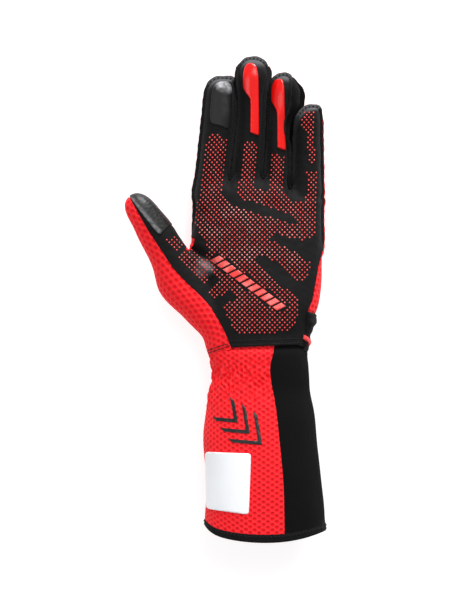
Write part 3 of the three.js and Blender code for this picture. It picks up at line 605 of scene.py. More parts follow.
def makePiece(name, points, faces, material, uv=None, crease=50, turned=None):
    mesh = bpy.data.meshes.new(name)
    points = np.column_stack([points[:, :2], np.maximum(points[:, 2], floorGap)])
    faces = np.asarray(faces)
    size = faces.shape[1]
    mesh.vertices.add(len(points))
    mesh.vertices.foreach_set("co", ((points + wrist) * mm).astype(np.float32).ravel())
    mesh.loops.add(faces.size)
    mesh.loops.foreach_set("vertex_index", faces.astype(np.int32).ravel())
    mesh.polygons.add(len(faces))
    mesh.polygons.foreach_set("loop_start", np.arange(0, faces.size, size, dtype=np.int32))
    mesh.polygons.foreach_set("use_smooth", np.ones(len(faces), bool))
    mesh.update(calc_edges=True)
    if uv is not None:
        layer = mesh.uv_layers.new(name="cloth")
        layer.data.foreach_set("uv", uv[faces.ravel()].astype(np.float32).ravel())
    if turned is not None:
        mesh.attributes.new("turned", "FLOAT", "POINT").data.foreach_set("value", turned.astype(np.float32))
    mesh.validate()
    mesh.set_sharp_from_angle(angle=np.radians(crease))
    piece = bpy.data.objects.new(name, mesh)
    bpy.context.scene.collection.objects.link(piece)
    mesh.materials.append(material)
    return piece


def dress(piece, slot, *nodes):
    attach(piece, "root")
    if nodes:
        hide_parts(*nodes)
    print(piece.name, len(piece.data.polygons), "faces")
    return piece


# Materials

def addNode(tree, kind, inputs=None, **settings):
    node = tree.nodes.new(kind)
    for key, value in settings.items():
        setattr(node, key, value)
    for key, value in (inputs or {}).items():
        if isinstance(value, bpy.types.NodeSocket):
            tree.links.new(value, node.inputs[key])
        else:
            node.inputs[key].default_value = value
    return node


def maths(tree, operation, *values, clamp=False):
    node = addNode(tree, "ShaderNodeMath", dict(enumerate(values)), operation=operation, use_clamp=clamp)
    return node.outputs[0]


def vectorMaths(tree, operation, *vectors, scale=None, output="Vector"):
    inputs = dict(enumerate(vectors))
    if scale is not None:
        inputs[3] = scale
    return addNode(tree, "ShaderNodeVectorMath", inputs, operation=operation).outputs[output]


def mixColor(tree, factor, low, high):
    node = addNode(tree, "ShaderNodeMix", {0: factor, 6: low, 7: high}, data_type="RGBA")
    return node.outputs[2]


def shaded(color, share=1.0):
    return (*(share * v for v in color), 1)


def newMaterial(name, sockets):
    material = bpy.data.materials.new(name)
    material.use_nodes = True
    tree = material.node_tree
    shader = tree.nodes["Principled BSDF"]
    for key, value in sockets.items():
        shader.inputs[key].default_value = value
    return material, tree, shader


def objectPoint(tree, scale=1000):  # object coordinates in mm
    coordinate = addNode(tree, "ShaderNodeTexCoord").outputs["Object"]
    return vectorMaths(tree, "SCALE", coordinate, scale=scale)


def placeInFrame(place, height=0):  # a place of the photo, in the frame's mm
    return (*(fromPhoto([place])[0] + wrist[:2]), height)


def noise(tree, vector, scale, detail=2.0, roughness=0.5):
    inputs = {"Vector": vector, "Scale": scale, "Detail": detail, "Roughness": roughness}
    return addNode(tree, "ShaderNodeTexNoise", inputs).outputs["Fac"]


def bump(tree, shader, height, strength, distance):
    inputs = {"Height": height, "Strength": strength, "Distance": distance * mm}
    tree.links.new(addNode(tree, "ShaderNodeBump", inputs).outputs[0], shader.inputs["Normal"])


def spread(tree, value, low, high):  # stretches a value to run from 0 to 1 between low and high
    inputs = {0: value, 1: low, 2: high}
    return addNode(tree, "ShaderNodeMapRange", inputs, interpolation_type="SMOOTHSTEP").outputs[0]


def clothPoint(tree):
    return addNode(tree, "ShaderNodeUVMap", uv_map="cloth").outputs[0]


# Distance to the nearest point of a staggered lattice.
def latticeDistance(tree, vector, pitchX, pitchY):
    halfCell = (pitchX, pitchY / 2, 1)
    found = []
    for shift in ((0, 0, 0), (pitchX, pitchY / 2, 0)):
        moved = vectorMaths(tree, "SUBTRACT", vector, shift)
        wrapped = vectorMaths(tree, "WRAP", moved, halfCell, tuple(-v for v in halfCell))
        flat = vectorMaths(tree, "MULTIPLY", wrapped, (1, 1, 0))
        found.append(vectorMaths(tree, "LENGTH", flat, output="Value"))
    return maths(tree, "MINIMUM", *found)


def nearPlace(tree, point, place):  # distance in plan from a place of the photo, in mm
    plan = vectorMaths(tree, "MULTIPLY", point, (1, 1, 0))
    return vectorMaths(tree, "DISTANCE", plan, placeInFrame(place), output="Value")


def nearLine(tree, point, start, end):  # distance in plan from a straight line, in mm
    a, b = (np.array(placeInFrame(place)) for place in (start, end))
    plan = vectorMaths(tree, "MULTIPLY", point, (1, 1, 0))
    away = vectorMaths(tree, "SUBTRACT", plan, tuple(a))
    ahead = tuple((b - a) / np.dot(b - a, b - a))
    share = vectorMaths(tree, "DOT_PRODUCT", away, ahead, output="Value")
    share = addNode(tree, "ShaderNodeClamp", {0: share}).outputs[0]
    foot = vectorMaths(tree, "SCALE", tuple(b - a), scale=share)
    return vectorMaths(tree, "DISTANCE", away, foot, output="Value")


# Dimples of the red cloth
dimples = {"pitchX": 3.1, "pitchY": 3.9, "hole": 0.62, "rim": 1.75, "depth": 0.26}


def redMeshMaterial():
    material, tree, shader = newMaterial("redMesh", {
        "Roughness": 0.75, "Specular IOR Level": 0.18, "Sheen Weight": 0.05, "Sheen Roughness": 0.5,
    })
    cloth = clothPoint(tree)
    distance = latticeDistance(tree, cloth, dimples["pitchX"], dimples["pitchY"])
    wall = spread(tree, distance, dimples["hole"], dimples["rim"])
    yarn = noise(tree, cloth, 2.6, 3.0, 0.6)
    # the cloth is painted darker red in its dimples, as shade in the holes, with random yarn tone mixed in
    tone = maths(tree, "MULTIPLY_ADD", yarn, 0.35, maths(tree, "MULTIPLY", wall, 0.9))
    tone = maths(tree, "SUBTRACT", tone, 0.12, clamp=True)
    color = mixColor(tree, tone, (0.76, 0.001, 0.006, 1), (0.95, 0.018, 0.026, 1))
    tree.links.new(color, shader.inputs["Base Color"])
    bump(tree, shader, maths(tree, "MULTIPLY_ADD", yarn, 0.25, wall), 0.8, 0.45)
    return material


foldSheen = {"middle": (204.5, 267.5), "reach": 9.0, "tone": 0.15}  # a painted highlight where the fold by the thumb would catch the light
turnedTone = 0.13  # of the painted light on the nap where the leather turns over the fingertips and faces the top lamp


def suedeMaterial(name, light):
    material, tree, shader = newMaterial(name, {
        "Roughness": 0.8, "Specular IOR Level": 0.2, "Sheen Weight": 0.05, "Sheen Roughness": 0.5,
        "Sheen Tint": (0.5, 0.52, 0.56, 1),
    })
    point = objectPoint(tree)
    nap, patches = noise(tree, point, 3.5, 4.0, 0.65), noise(tree, point, 0.12, 3.0)
    tone = maths(tree, "ADD", maths(tree, "MULTIPLY", nap, 0.6), maths(tree, "MULTIPLY", patches, 0.4))
    deep = (0.25 * light, 0.25 * light, 0.27 * light, 1)
    color = mixColor(tree, tone, deep, (light, 0.95 * light, 1.04 * light, 1))
    # painted highlight on the fold by the thumb, in patches of the nap
    away = nearPlace(tree, point, foldSheen["middle"])
    paintedSheen = spread(tree, away, foldSheen["reach"], 0.0)
    paintedSheen = maths(tree, "MULTIPLY", paintedSheen, spread(tree, nap, 0.2, 0.7))
    color = mixColor(tree, paintedSheen, color, (foldSheen["tone"], foldSheen["tone"], foldSheen["tone"] * 1.05, 1))
    # painted light: the nap is paler at the fingertips, where they face the top lamp
    turned = addNode(tree, "ShaderNodeAttribute", attribute_name="turned").outputs["Fac"]
    tipLightShare = maths(tree, "MULTIPLY", turned, spread(tree, nap, 0.2, 0.8))
    color = mixColor(tree, tipLightShare, color, (turnedTone, turnedTone, turnedTone * 1.05, 1))
    tree.links.new(color, shader.inputs["Base Color"])
    bump(tree, shader, nap, 0.35, 0.16)
    return material


# Painted highlights on the touch films: pale streaks and a pale spot where they would reflect the light, in
# places of the photo
paintedGlints = [
    {"from": (132, 200), "to": (158.5, 231), "width": 2.2, "tone": 0.16},
    {"from": (221, 85.5), "to": (227, 88), "width": 4.2, "tone": 0.5},
    {"from": (225, 90), "to": (226, 114), "width": 3.0, "tone": 0.02},
]


def touchMaterial():
    material, tree, shader = newMaterial("touchFilm", {
        "Roughness": 0.45, "Specular IOR Level": 0.3, "Coat Weight": 0.25, "Coat Roughness": 0.4,
    })
    point = objectPoint(tree)
    cells = addNode(tree, "ShaderNodeTexVoronoi", {"Vector": point, "Scale": 1.3}, feature="DISTANCE_TO_EDGE")
    pebble = spread(tree, cells.outputs["Distance"], 0.0, 0.25)
    wear = noise(tree, point, 0.35, 4.0, 0.6)
    color = mixColor(tree, wear, (0.0015, 0.0018, 0.002, 1), (0.005, 0.0055, 0.006, 1))
    # painted highlights: the films are paler along these lines
    for glint in paintedGlints:
        near = nearLine(tree, point, glint["from"], glint["to"])
        share = spread(tree, near, glint["width"] * 1.3, 0.0)
        share = maths(tree, "MULTIPLY", share, spread(tree, wear, 0.2, 0.65))
        color = mixColor(tree, share, color, (glint["tone"], glint["tone"], glint["tone"] * 1.04, 1))
    tree.links.new(color, shader.inputs["Base Color"])
    tree.links.new(maths(tree, "MULTIPLY_ADD", wear, 0.2, 0.4), shader.inputs["Roughness"])
    bump(tree, shader, pebble, 0.22, 0.12)
    return material


# The print gets a painted highlight, paler pink, in the middle of the palm; height is in mm
printSheen = {"middle": (248, 245), "height": 40, "reach": 72, "share": 0.6}


def siliconeMaterial(name, color, roughness, paintedSheen=False):
    material, tree, shader = newMaterial(name, {
        "Roughness": roughness, "Specular IOR Level": 0.4, "Coat Weight": 0.25, "Coat Roughness": 0.12,
    })
    point = objectPoint(tree)
    paint = mixColor(tree, noise(tree, point, 0.25, 2.0), shaded(color, 0.86), shaded(color))
    # painted highlight: the print turns paler pink in patches towards the middle of the palm
    if paintedSheen:
        spot = placeInFrame(printSheen["middle"], printSheen["height"])
        away = vectorMaths(tree, "DISTANCE", point, spot, output="Value")
        patches = spread(tree, noise(tree, point, 0.07, 3.0, 0.6), 0.4, 0.75)
        share = maths(tree, "MULTIPLY", spread(tree, away, printSheen["reach"], 0.0), patches)
        share = maths(tree, "MULTIPLY", share, printSheen["share"])
        paint = mixColor(tree, share, paint, (0.95, 0.5, 0.46, 1))
    tree.links.new(paint, shader.inputs["Base Color"])
    bump(tree, shader, noise(tree, point, 1.1, 2.0), 0.12, 0.1)
    return material


def knitMaterial(name, ribPitch, light):
    material, tree, shader = newMaterial(name, {
        "Roughness": 0.85, "Specular IOR Level": 0.1, "Sheen Weight": 0.03, "Sheen Roughness": 0.5,
        "Sheen Tint": (0.55, 0.57, 0.62, 1),
    })
    cloth = clothPoint(tree)
    parts = addNode(tree, "ShaderNodeSeparateXYZ", {0: cloth}).outputs
    rib = maths(tree, "SINE", maths(tree, "MULTIPLY", parts[0], 2 * math.pi / ribPitch))
    loops = maths(tree, "SINE", maths(tree, "MULTIPLY", parts[1], 2 * math.pi / (0.6 * ribPitch)))
    yarn = noise(tree, cloth, 3.0, 3.0, 0.6)
    height = maths(tree, "ADD", maths(tree, "MULTIPLY", rib, 0.35), maths(tree, "MULTIPLY", loops, 0.12))
    height = maths(tree, "MULTIPLY_ADD", yarn, 0.5, height)
    # the colour follows the knit's height: painted shade in the grooves between ribs and loops, with random
    # yarn tone
    tone = spread(tree, height, -0.3, 0.8)
    dark = (light * 0.4, light * 0.4, light * 0.44, 1)
    tree.links.new(mixColor(tree, tone, dark, (light, light, light * 1.12, 1)), shader.inputs["Base Color"])
    bump(tree, shader, height, 0.5, 0.2)
    return material


def filmMaterial(name, color, roughness):
    material, tree, shader = newMaterial(name, {
        "Roughness": roughness, "Specular IOR Level": 0.45, "Coat Weight": 0.1,
    })
    point = objectPoint(tree)
    paint = mixColor(tree, noise(tree, point, 0.05, 3.0), shaded(color, 0.93), shaded(color))
    tree.links.new(paint, shader.inputs["Base Color"])
    bump(tree, shader, noise(tree, point, 0.5, 3.0), 0.1, 0.15)
    return material


def threadMaterial(name, color):
    material, tree, shader = newMaterial(name, {"Roughness": 0.6, "Specular IOR Level": 0.3})
    fibre = noise(tree, objectPoint(tree), 6.0, 2.0)
    tree.links.new(mixColor(tree, fibre, shaded(color, 0.5), shaded(color)), shader.inputs["Base Color"])
    return material


def floorMaterial():
    material, tree, shader = newMaterial("paleFloor", {
        "Roughness": 0.9, "Specular IOR Level": 0.1,
        "Emission Color": (1, 1, 1, 1), "Emission Strength": 0.78,
    })
    grain = noise(tree, objectPoint(tree), 0.01, 2.0)
    paint = mixColor(tree, grain, (0.38, 0.38, 0.38, 1), (0.4, 0.4, 0.4, 1))
    tree.links.new(paint, shader.inputs["Base Color"])
    return material


# the seam allowance wears a lighter copy of the suede, painted light for its lit rim
suede, litEdgeSuede = suedeMaterial("suede", 0.0032), suedeMaterial("litEdgeSuede", 0.006)
redMesh, touchFilm = redMeshMaterial(), touchMaterial()
gripSilicone = siliconeMaterial("gripSilicone", (0.8, 0.005, 0.003), 0.24)
printSilicone = siliconeMaterial("printSilicone", (0.79, 0.044, 0.039), 0.34, True)
stretchKnit = knitMaterial("stretchKnit", 1.05, 0.0034)
strapKnit = knitMaterial("strapKnit", 0.8, 0.014)
bindingTape = knitMaterial("bindingTape", 0.7, 0.009)
whiteFilm = filmMaterial("whiteFilm", (0.88, 0.9, 0.93), 0.42)
darkFilm = filmMaterial("darkFilm", (0.005, 0.005, 0.0055), 0.42)
redTape = filmMaterial("redTape", (0.9, 0.05, 0.05), 0.6)
darkThread = threadMaterial("darkThread", (0.007, 0.007, 0.008))
# near-black thread for the fingertip stitches, painted shade of their holes
holeShadeThread = threadMaterial("holeShadeThread", (0.0012, 0.0012, 0.0014))
print("materials are made")


# Things that repeat along a path or over a surface, made by Geometry Nodes

def newTree(name, sockets):
    tree = bpy.data.node_groups.new(name, "GeometryNodeTree")
    tree.interface.new_socket("Geometry", in_out="INPUT", socket_type="NodeSocketGeometry")
    for label, kind, value in sockets:
        socket = tree.interface.new_socket(label, in_out="INPUT", socket_type=kind)
        if value is not None:
            socket.default_value = value
    tree.interface.new_socket("Geometry", in_out="OUTPUT", socket_type="NodeSocketGeometry")
    return tree, addNode(tree, "NodeGroupInput").outputs, addNode(tree, "NodeGroupOutput")


def finishTree(tree, instances, given, output):  # instances made real, smooth and given their material
    real = addNode(tree, "GeometryNodeRealizeInstances", {"Geometry": instances}).outputs[0]
    smoothed = addNode(tree, "GeometryNodeSetShadeSmooth", {"Geometry": real}).outputs[0]
    painted = addNode(tree, "GeometryNodeSetMaterial", {"Geometry": smoothed, "Material": given["Material"]})
    tree.links.new(painted.outputs[0], output.inputs[0])
    return tree


def placeBeads(tree, points, facing, sides, size):  # a round bead on each point, turned and stretched
    turn = addNode(tree, "FunctionNodeAlignRotationToVector", {"Vector": facing}, axis="Z").outputs[0]
    bead = addNode(tree, "GeometryNodeMeshUVSphere", {"Segments": sides, "Rings": 6, "Radius": 0.5})
    placed = addNode(tree, "GeometryNodeInstanceOnPoints", {
        "Points": points, "Instance": bead.outputs["Mesh"], "Rotation": turn, "Scale": size,
    })
    return placed.outputs[0]


def makeStitchTree():
    tree, given, output = newTree("stitchesAlongPath", [
        ("Pitch", "NodeSocketFloat", 0.0025), ("Length", "NodeSocketFloat", 0.0018),
        ("Thickness", "NodeSocketFloat", 0.0005), ("Material", "NodeSocketMaterial", None),
    ])
    path = addNode(tree, "GeometryNodeMeshToCurve", {"Mesh": given["Geometry"]}).outputs[0]
    spacing = {"Curve": path, "Length": given["Pitch"]}
    steps = addNode(tree, "GeometryNodeResampleCurve", spacing, mode="LENGTH")
    tangent = addNode(tree, "GeometryNodeInputTangent").outputs[0]
    thick = given["Thickness"]
    size = addNode(tree, "ShaderNodeCombineXYZ", {0: thick, 1: thick, 2: given["Length"]}).outputs[0]
    return finishTree(tree, placeBeads(tree, steps.outputs[0], tangent, 8, size), given, output)


def makeDotTree():
    tree, given, output = newTree("dotsOnPoints", [
        ("Width", "NodeSocketFloat", 0.0013), ("Height", "NodeSocketFloat", 0.0005),
        ("Uneven", "NodeSocketFloat", 0.1), ("Seed", "NodeSocketInt", 5),
        ("Material", "NodeSocketMaterial", None),
    ])
    facing = addNode(tree, "GeometryNodeInputNamedAttribute", {"Name": "facing"}, data_type="FLOAT_VECTOR")
    low = maths(tree, "SUBTRACT", 1.0, given["Uneven"])
    span = {2: low, 3: 1.0, "Seed": given["Seed"]}
    random = addNode(tree, "FunctionNodeRandomValue", span, data_type="FLOAT")
    width = maths(tree, "MULTIPLY", given["Width"], random.outputs[1])
    size = addNode(tree, "ShaderNodeCombineXYZ", {0: width, 1: width, 2: given["Height"]}).outputs[0]
    return finishTree(tree, placeBeads(tree, given["Geometry"], facing.outputs[0], 10, size), given, output)


stitchTree, dotTree = makeStitchTree(), makeDotTree()


# Runs a tree on points and edges (in mm) and keeps the result as a plain mesh
def grown(name, tree, points, edges, values, facing=None):
    seed = bpy.data.meshes.new(name)
    seed.from_pydata(((points + wrist) * mm).tolist(), [tuple(edge) for edge in edges], [])
    if facing is not None:
        vectors = seed.attributes.new("facing", "FLOAT_VECTOR", "POINT")
        vectors.data.foreach_set("vector", facing.astype(np.float32).ravel())
    piece = bpy.data.objects.new(name, seed)
    bpy.context.scene.collection.objects.link(piece)
    modifier = piece.modifiers.new(tree.name, "NODES")
    modifier.node_group = tree
    for item in tree.interface.items_tree:
        if item.in_out == "INPUT" and item.name in values:
            modifier[item.identifier] = values[item.name]
    real = piece.evaluated_get(bpy.context.evaluated_depsgraph_get())
    result = bpy.data.meshes.new_from_object(real)
    piece.modifiers.clear()
    piece.data = result
    return piece


def chains(points, keep=None, closed=False):  # edges between following points, left out where keep is false
    count = len(points)
    start = np.arange(count if closed else count - 1)
    edges = np.stack([start, (start + 1) % count], 1)
    return edges if keep is None else edges[keep[edges].all(1)]


# The hand's panels

# The hand is carved on a fine grid for leather and strips and on a coarser one for cloth, in the same box
skin = {"step": 0.9, "clothStep": 1.5, "low": (-95, -9, -4), "high": (52, 206, 48)}
flange = {"reach": 2.0, "thickness": 1.0, "spacing": 0.9, "root": -0.9, "relax": 16, "stitchAt": 0.42}
# How much further the seam allowance stands out: between two fingers that face each other, all round,
# and outside the little finger. beside: whether it draws back at the side of the ring fingertip
allowance = {
    "palm": {"between": 0.7, "all": 0, "little": 0, "beside": 0},
    "strip": {"between": 1.1, "all": 0, "little": 0, "beside": 1},
    "back": {"between": 0, "all": -0.6, "little": 1.0, "beside": 1},
}
# Where it does so: off the lanes and over y between the fingers, over y up the two outer sides
flangePlaces = {
    "lane": (3.3, 5.2), "between": (74, 84), "little": (52, 74), "index": (73, 95),
    "outerX": (36, 42), "outerY": (155, 163),
}
ringSide = {
    "swell": 0.1, "off": 3.2, "near": (1.6, 3.2), "y": (148, 156), "back": 0.7, "x": (20.5, 23), "to": 34,
}
turnedOver = {"facing": (0.25, 0.8), "y": (128, 145)}  # where the leather turns over the fingertips and faces the top lamp, painted lighter as if lit
wristFront = fromPhoto([(180, 352), (231, 347.3), (297, 344.3), (303, 346.4), (330, 346.4)])
wristBack = fromPhoto([(190, 362), (208.9, 356.5), (231, 349), (303, 346), (330, 346)])


def unevenness(points, size, seed, waves=14):  # a soft random height between about -1 and 1
    random = np.random.default_rng(seed)
    ways = random.normal(size=(waves, 3))
    ways /= np.linalg.norm(ways, axis=1, keepdims=True)
    total = 0
    for way, start, stretch in zip(ways, random.uniform(0, 6.3, waves), random.uniform(0.7, 1.5, waves)):
        total = total + np.sin(points @ way * (2 * np.pi / (size * stretch)) + start)
    return total / np.sqrt(2 * waves)


# How far the seam allowance stands out: full round the fingers, sunk away elsewhere
def flangeReach(points, more):
    x, y, z = points.T
    lane = np.minimum.reduce([np.abs(x - laneX(number, y)) for number in (1, 2, 3)])
    facing = (1 - smooth(lane, *flangePlaces["lane"])) * smooth(y, *flangePlaces["between"])
    onLittle = smooth(y, *flangePlaces["little"]) * (x > 0)
    onIndex = smooth(y, *flangePlaces["index"]) * (x <= 0)
    share = np.maximum(onLittle, onIndex) * (1 - thumbShare(x, y, z, -1, 5))
    outer = smooth(x, *flangePlaces["outerX"]) * (1 - smooth(y, *flangePlaces["outerY"]))
    forward = normalsOf(points)[:, 1]
    reach = flange["reach"] + more["all"] + more["between"] * facing + more["little"] * outer
    reach = reach + hand["tipRim"] * smooth(forward, 0.0, 0.95)
    # beside the ring finger it swells a little, and at the tip it stands lower than the finger's front
    near = 1 - smooth(np.abs(x - laneX(3, y) + ringSide["off"]), *ringSide["near"])
    near = near * smooth(y, *ringSide["y"]) * (1 - smooth(forward, 0.3, 0.6))
    reach = reach + ringSide["swell"] * more["beside"] * near
    atTip = smooth(forward, 0.0, 0.6) * smooth(x, *ringSide["x"]) * (x < ringSide["to"])
    reach = reach * (1 - ringSide["back"] * more["beside"] * atTip)
    return reach * share + flange["root"] * (1 - smooth(share, 0, 0.15))


def flangeSection():  # out from the seam and across it, in mm
    gap, thick, root = 0.02, flange["thickness"], flange["root"]
    return [(root, gap), (-0.25, gap), (-0.06, gap + 0.12), (0, gap + thick * 0.5),
            (-0.12, gap + thick * 0.85), (-0.4, gap + thick), (root, gap + thick)]


# A seam allowance swept along the border of a panel, on the panel's own side of the seam
def flangeBand(loop, more):
    path = ontoSkin(relaxed(evenly(loop, flange["spacing"], closed=True), flange["relax"]))
    outward = normalsOf(path)
    forward = np.roll(path, -1, 0) - np.roll(path, 1, 0)
    inward = np.cross(outward, forward)
    inward /= np.linalg.norm(inward, axis=1, keepdims=True)
    steps = np.arange(len(path))
    ripple = 0.12 * np.sin(steps * 0.9) + 0.1 * np.sin(steps * 0.37 + 1)
    reach = flangeReach(path, more)
    reach = reach + ripple * smooth(reach, 0.3, 1.5)
    section = flangeSection()
    rows, across = [], []
    for out, up in section:
        away = reach + out if out > flange["root"] else np.full(len(path), flange["root"])
        rows.append(path + outward * away[:, None] + inward * up)
        across.append(away)
    size = len(section)
    uv = np.stack([np.stack(across, 1).ravel(), np.repeat(steps * flange["spacing"], size)], 1)
    above = section[-1][1] + 0.05
    # painted light where the allowance faces up the glove at the fingertips, towards the top lamp
    turned = smooth(outward[:, 1], 0.3, 0.9) * smooth(path[:, 1], *turnedOver["y"])
    stitching = {
        "points": path + outward * (reach * flange["stitchAt"])[:, None] + inward * above,
        "keep": reach > 1.2, "atTip": outward[:, 1] > 0.5, "turned": np.repeat(turned, size),
    }
    return np.stack(rows, 1).reshape(-1, 3), splitQuads(ringFaces(len(path), size)), uv, stitching


def trimmed(points, triangles, values, lower):
    points, triangles, _ = cut(points, triangles, values - hand["panelGap"] / 2)
    below = points[:, 1] - np.interp(points[:, 0], lower[:, 0], lower[:, 1])
    points, triangles, _ = cut(points, triangles, below)
    return largestPart(*tidyMesh(points, triangles))


# Lays a panel flat with little stretch, as its pattern piece was cut; in mm, turned so that its grain leans
# by the given angle at one place of the plan
def flattened(points, triangles, place, lean):
    mesh = bpy.data.meshes.new("pattern")
    mesh.from_pydata(points.tolist(), [], triangles.tolist())
    layer = mesh.uv_layers.new(name="flat")
    layer.data.foreach_set("uv", points[triangles.ravel(), :2].astype(np.float32).ravel())
    pattern = bpy.data.objects.new("pattern", mesh)
    bpy.context.scene.collection.objects.link(pattern)
    for other in bpy.context.selected_objects:
        other.select_set(False)
    bpy.context.view_layer.objects.active = pattern
    pattern.select_set(True)
    bpy.ops.object.mode_set(mode="EDIT")
    bpy.ops.mesh.select_all(action="SELECT")
    bpy.ops.uv.unwrap(method="MINIMUM_STRETCH", fill_holes=False, margin=0, no_flip=False, iterations=12)
    bpy.ops.object.mode_set(mode="OBJECT")
    corners = np.empty(len(mesh.loops) * 2)
    mesh.uv_layers["flat"].data.foreach_get("uv", corners)
    owner = np.empty(len(mesh.loops), np.int64)
    mesh.loops.foreach_get("vertex_index", owner)
    uv = np.zeros((len(points), 2))
    uv[owner] = corners.reshape(-1, 2)
    bpy.data.objects.remove(pattern)
    a, b, c = (points[triangles[:, i]] for i in range(3))
    d, e, f = (uv[triangles[:, i]] for i in range(3))
    real = np.linalg.norm(np.cross(b - a, c - a), axis=1).sum()
    flat = np.abs((e - d)[:, 0] * (f - d)[:, 1] - (e - d)[:, 1] * (f - d)[:, 0]).sum()
    uv = (uv - uv.mean(0)) * np.sqrt(real / flat)
    near = (np.hypot(*(points[:, :2] - place).T) < 12) & (points[:, 2] > 15)
    plan = points[near, :2] - points[near, :2].mean(0)
    left, _, right = np.linalg.svd((uv[near] - uv[near].mean(0)).T @ plan)
    c, s = math.cos(math.radians(lean)), math.sin(math.radians(lean))
    return uv @ left @ right @ np.array([[c, s], [-s, c]])


# How deep the red cloth is at a place of its pattern: dimples on a staggered lattice
def meshHoles(uv):
    wide, tall = 2 * dimples["pitchX"], dimples["pitchY"]
    nearest = 1e9
    for shift in (0, 1):
        u = uv[:, 0] - shift * dimples["pitchX"]
        v = uv[:, 1] - shift * tall / 2
        u = u - np.round(u / wide) * wide
        v = v - np.round(v / tall) * tall
        nearest = np.minimum(nearest, np.hypot(u, v))
    return dimples["depth"] * (1 - smooth(nearest, dimples["hole"] * 0.6, dimples["rim"]))


print("carving the hand")
surface = carve(handField, skin["low"], skin["high"], skin["step"])
surfaceZones = zones(surface[0])
palmPoints, palmTriangles = trimmed(*surface, surfaceZones["front"], wristFront)
palmNormals = normalsOf(palmPoints)
palmSoft = 0.16 * unevenness(palmPoints, 14, 1) + 0.1 * unevenness(palmPoints, 5, 2)
palmOuter = palmPoints + palmNormals * palmSoft[:, None]
palmWall = thicken(palmOuter, palmPoints - palmNormals * hand["wall"], palmTriangles)
# painted light on the palm leather where it turns over the fingertips and faces the top lamp
palmTipLight = smooth(palmNormals[:, 1], *turnedOver["facing"]) * smooth(palmPoints[:, 1], *turnedOver["y"])
dress(makePiece("palm_leather", *palmWall, suede, turned=np.tile(palmTipLight, 2)), "suede", "palm_panel")
palmLoop = max(borderLoops(palmTriangles), key=len)
edgePoints, edgeFaces, edgeCloth, palmStitching = flangeBand(palmPoints[palmLoop], allowance["palm"])
palmEdge = makePiece("palm_edge", edgePoints, edgeFaces, litEdgeSuede, edgeCloth, turned=palmStitching["turned"])
dress(palmEdge, "suede")

coarseSkin = carve(handField, skin["low"], skin["high"], skin["clothStep"])
backCoarse, backTriangles = trimmed(*coarseSkin, zones(coarseSkin[0])["back"], wristBack)
print("the back's pattern,", len(backTriangles), "faces")
backCut = {"place": (188, 295), "lean": 17, "thicker": 0.3}  # the grain leans so over the ball of the thumb
backPattern = flattened(backCoarse, backTriangles, fromPhoto([backCut["place"]])[0], backCut["lean"])
backFine, backFiner, backCloth = subdivide(backCoarse, backTriangles, backPattern)
backFine[len(backCoarse):] = ontoSkin(backFine[len(backCoarse):])
onEdge = np.zeros(len(backFine), bool)
onEdge[np.unique(borderEdges(backFiner))] = True
backHeight = 0.1 * unevenness(backFine, 11, 3) - np.where(onEdge, 0, meshHoles(backCloth))
backOuter = backFine + normalsOf(backFine) * backHeight[:, None]
backInner = backCoarse - normalsOf(backCoarse) * (hand["wall"] + backCut["thicker"])
backWall = lined(backOuter, backFiner, backInner, backTriangles)
backUV = np.vstack([backCloth, backPattern])
dress(makePiece("back_mesh", *backWall, redMesh, backUV), "red_mesh", "back_panel")
backLoop = max(borderLoops(backTriangles), key=len)
edgePoints, edgeFaces, edgeCloth, _ = flangeBand(backCoarse[backLoop], allowance["back"])
dress(makePiece("back_edge", edgePoints, edgeFaces, redMesh, edgeCloth), "red_mesh")

strips = {"names": ["index_middle", "middle_ring", "ring_little"], "reach": 16, "wall": 1.2}
for number, name in enumerate(strips["names"]):
    lanesAway = [np.abs(surface[0][:, 0] - laneX(k + 1, surface[0][:, 1])) for k in range(3)]
    away = lanesAway.pop(number)
    inside = surfaceZones["strip"] - hand["panelGap"] / 2
    inside = np.minimum.reduce([inside, strips["reach"] - away, np.minimum.reduce(lanesAway) - away])
    points, triangles, _ = cut(*surface, inside)
    points, triangles = largestPart(*tidyMesh(points, triangles))
    normals = normalsOf(points)
    outer = points + normals * (0.12 * unevenness(points, 6, 4 + number))[:, None]
    wall = thicken(outer, points - normals * strips["wall"], triangles)
    strip = makePiece("side_strip_" + name, *wall, stretchKnit, wall[0][:, [2, 1]])
    dress(strip, "stretch_knit", "fourchette_" + name)
    for end, loop in enumerate(borderLoops(triangles)):
        edgePoints, edgeFaces, edgeCloth, _ = flangeBand(points[loop], allowance["strip"])
        edge = makePiece(f"strip_edge_{name}_{end}", edgePoints, edgeFaces, stretchKnit, edgeCloth)
        dress(edge, "stretch_knit")


def stitched(name, slot, path, edges, stitch):  # stitch gives the pitch, length, thickness and thread
    sizes = {label: stitch[label] * mm for label in ("Pitch", "Length", "Thickness")}
    return dress(grown(name, stitchTree, path, edges, {**sizes, "Material": stitch["Material"]}), slot)


# Round the fingertips the stitches are near-black, painted shade of the holes they sit in
seamStitch = {"Pitch": 2.2, "Length": 1.4, "Thickness": 0.45, "Material": darkThread}
tipStitch = {"Pitch": 2.6, "Length": 1.15, "Thickness": 1.1, "Material": holeShadeThread}
line, keep, atTip = palmStitching["points"], palmStitching["keep"], palmStitching["atTip"]
stitched("seam_stitches", "suede", line, chains(line, keep & ~atTip, closed=True), seamStitch)
stitched("tip_stitches", "suede", line, chains(line, keep & atTip, closed=True), tipStitch)


# Raised pieces stuck or sewn on: cut out of a copy of the surface below, and lifted off it

patchMargin = 2.5  # mm of surface kept round a patch before it is cut


def roundedEdge(inside, thickness, rounding):  # the height of a patch, rounded down to its edge
    t = np.clip(inside / rounding, 0, 1)
    return thickness * np.sqrt(np.maximum(1 - (1 - t) ** 2, 0))


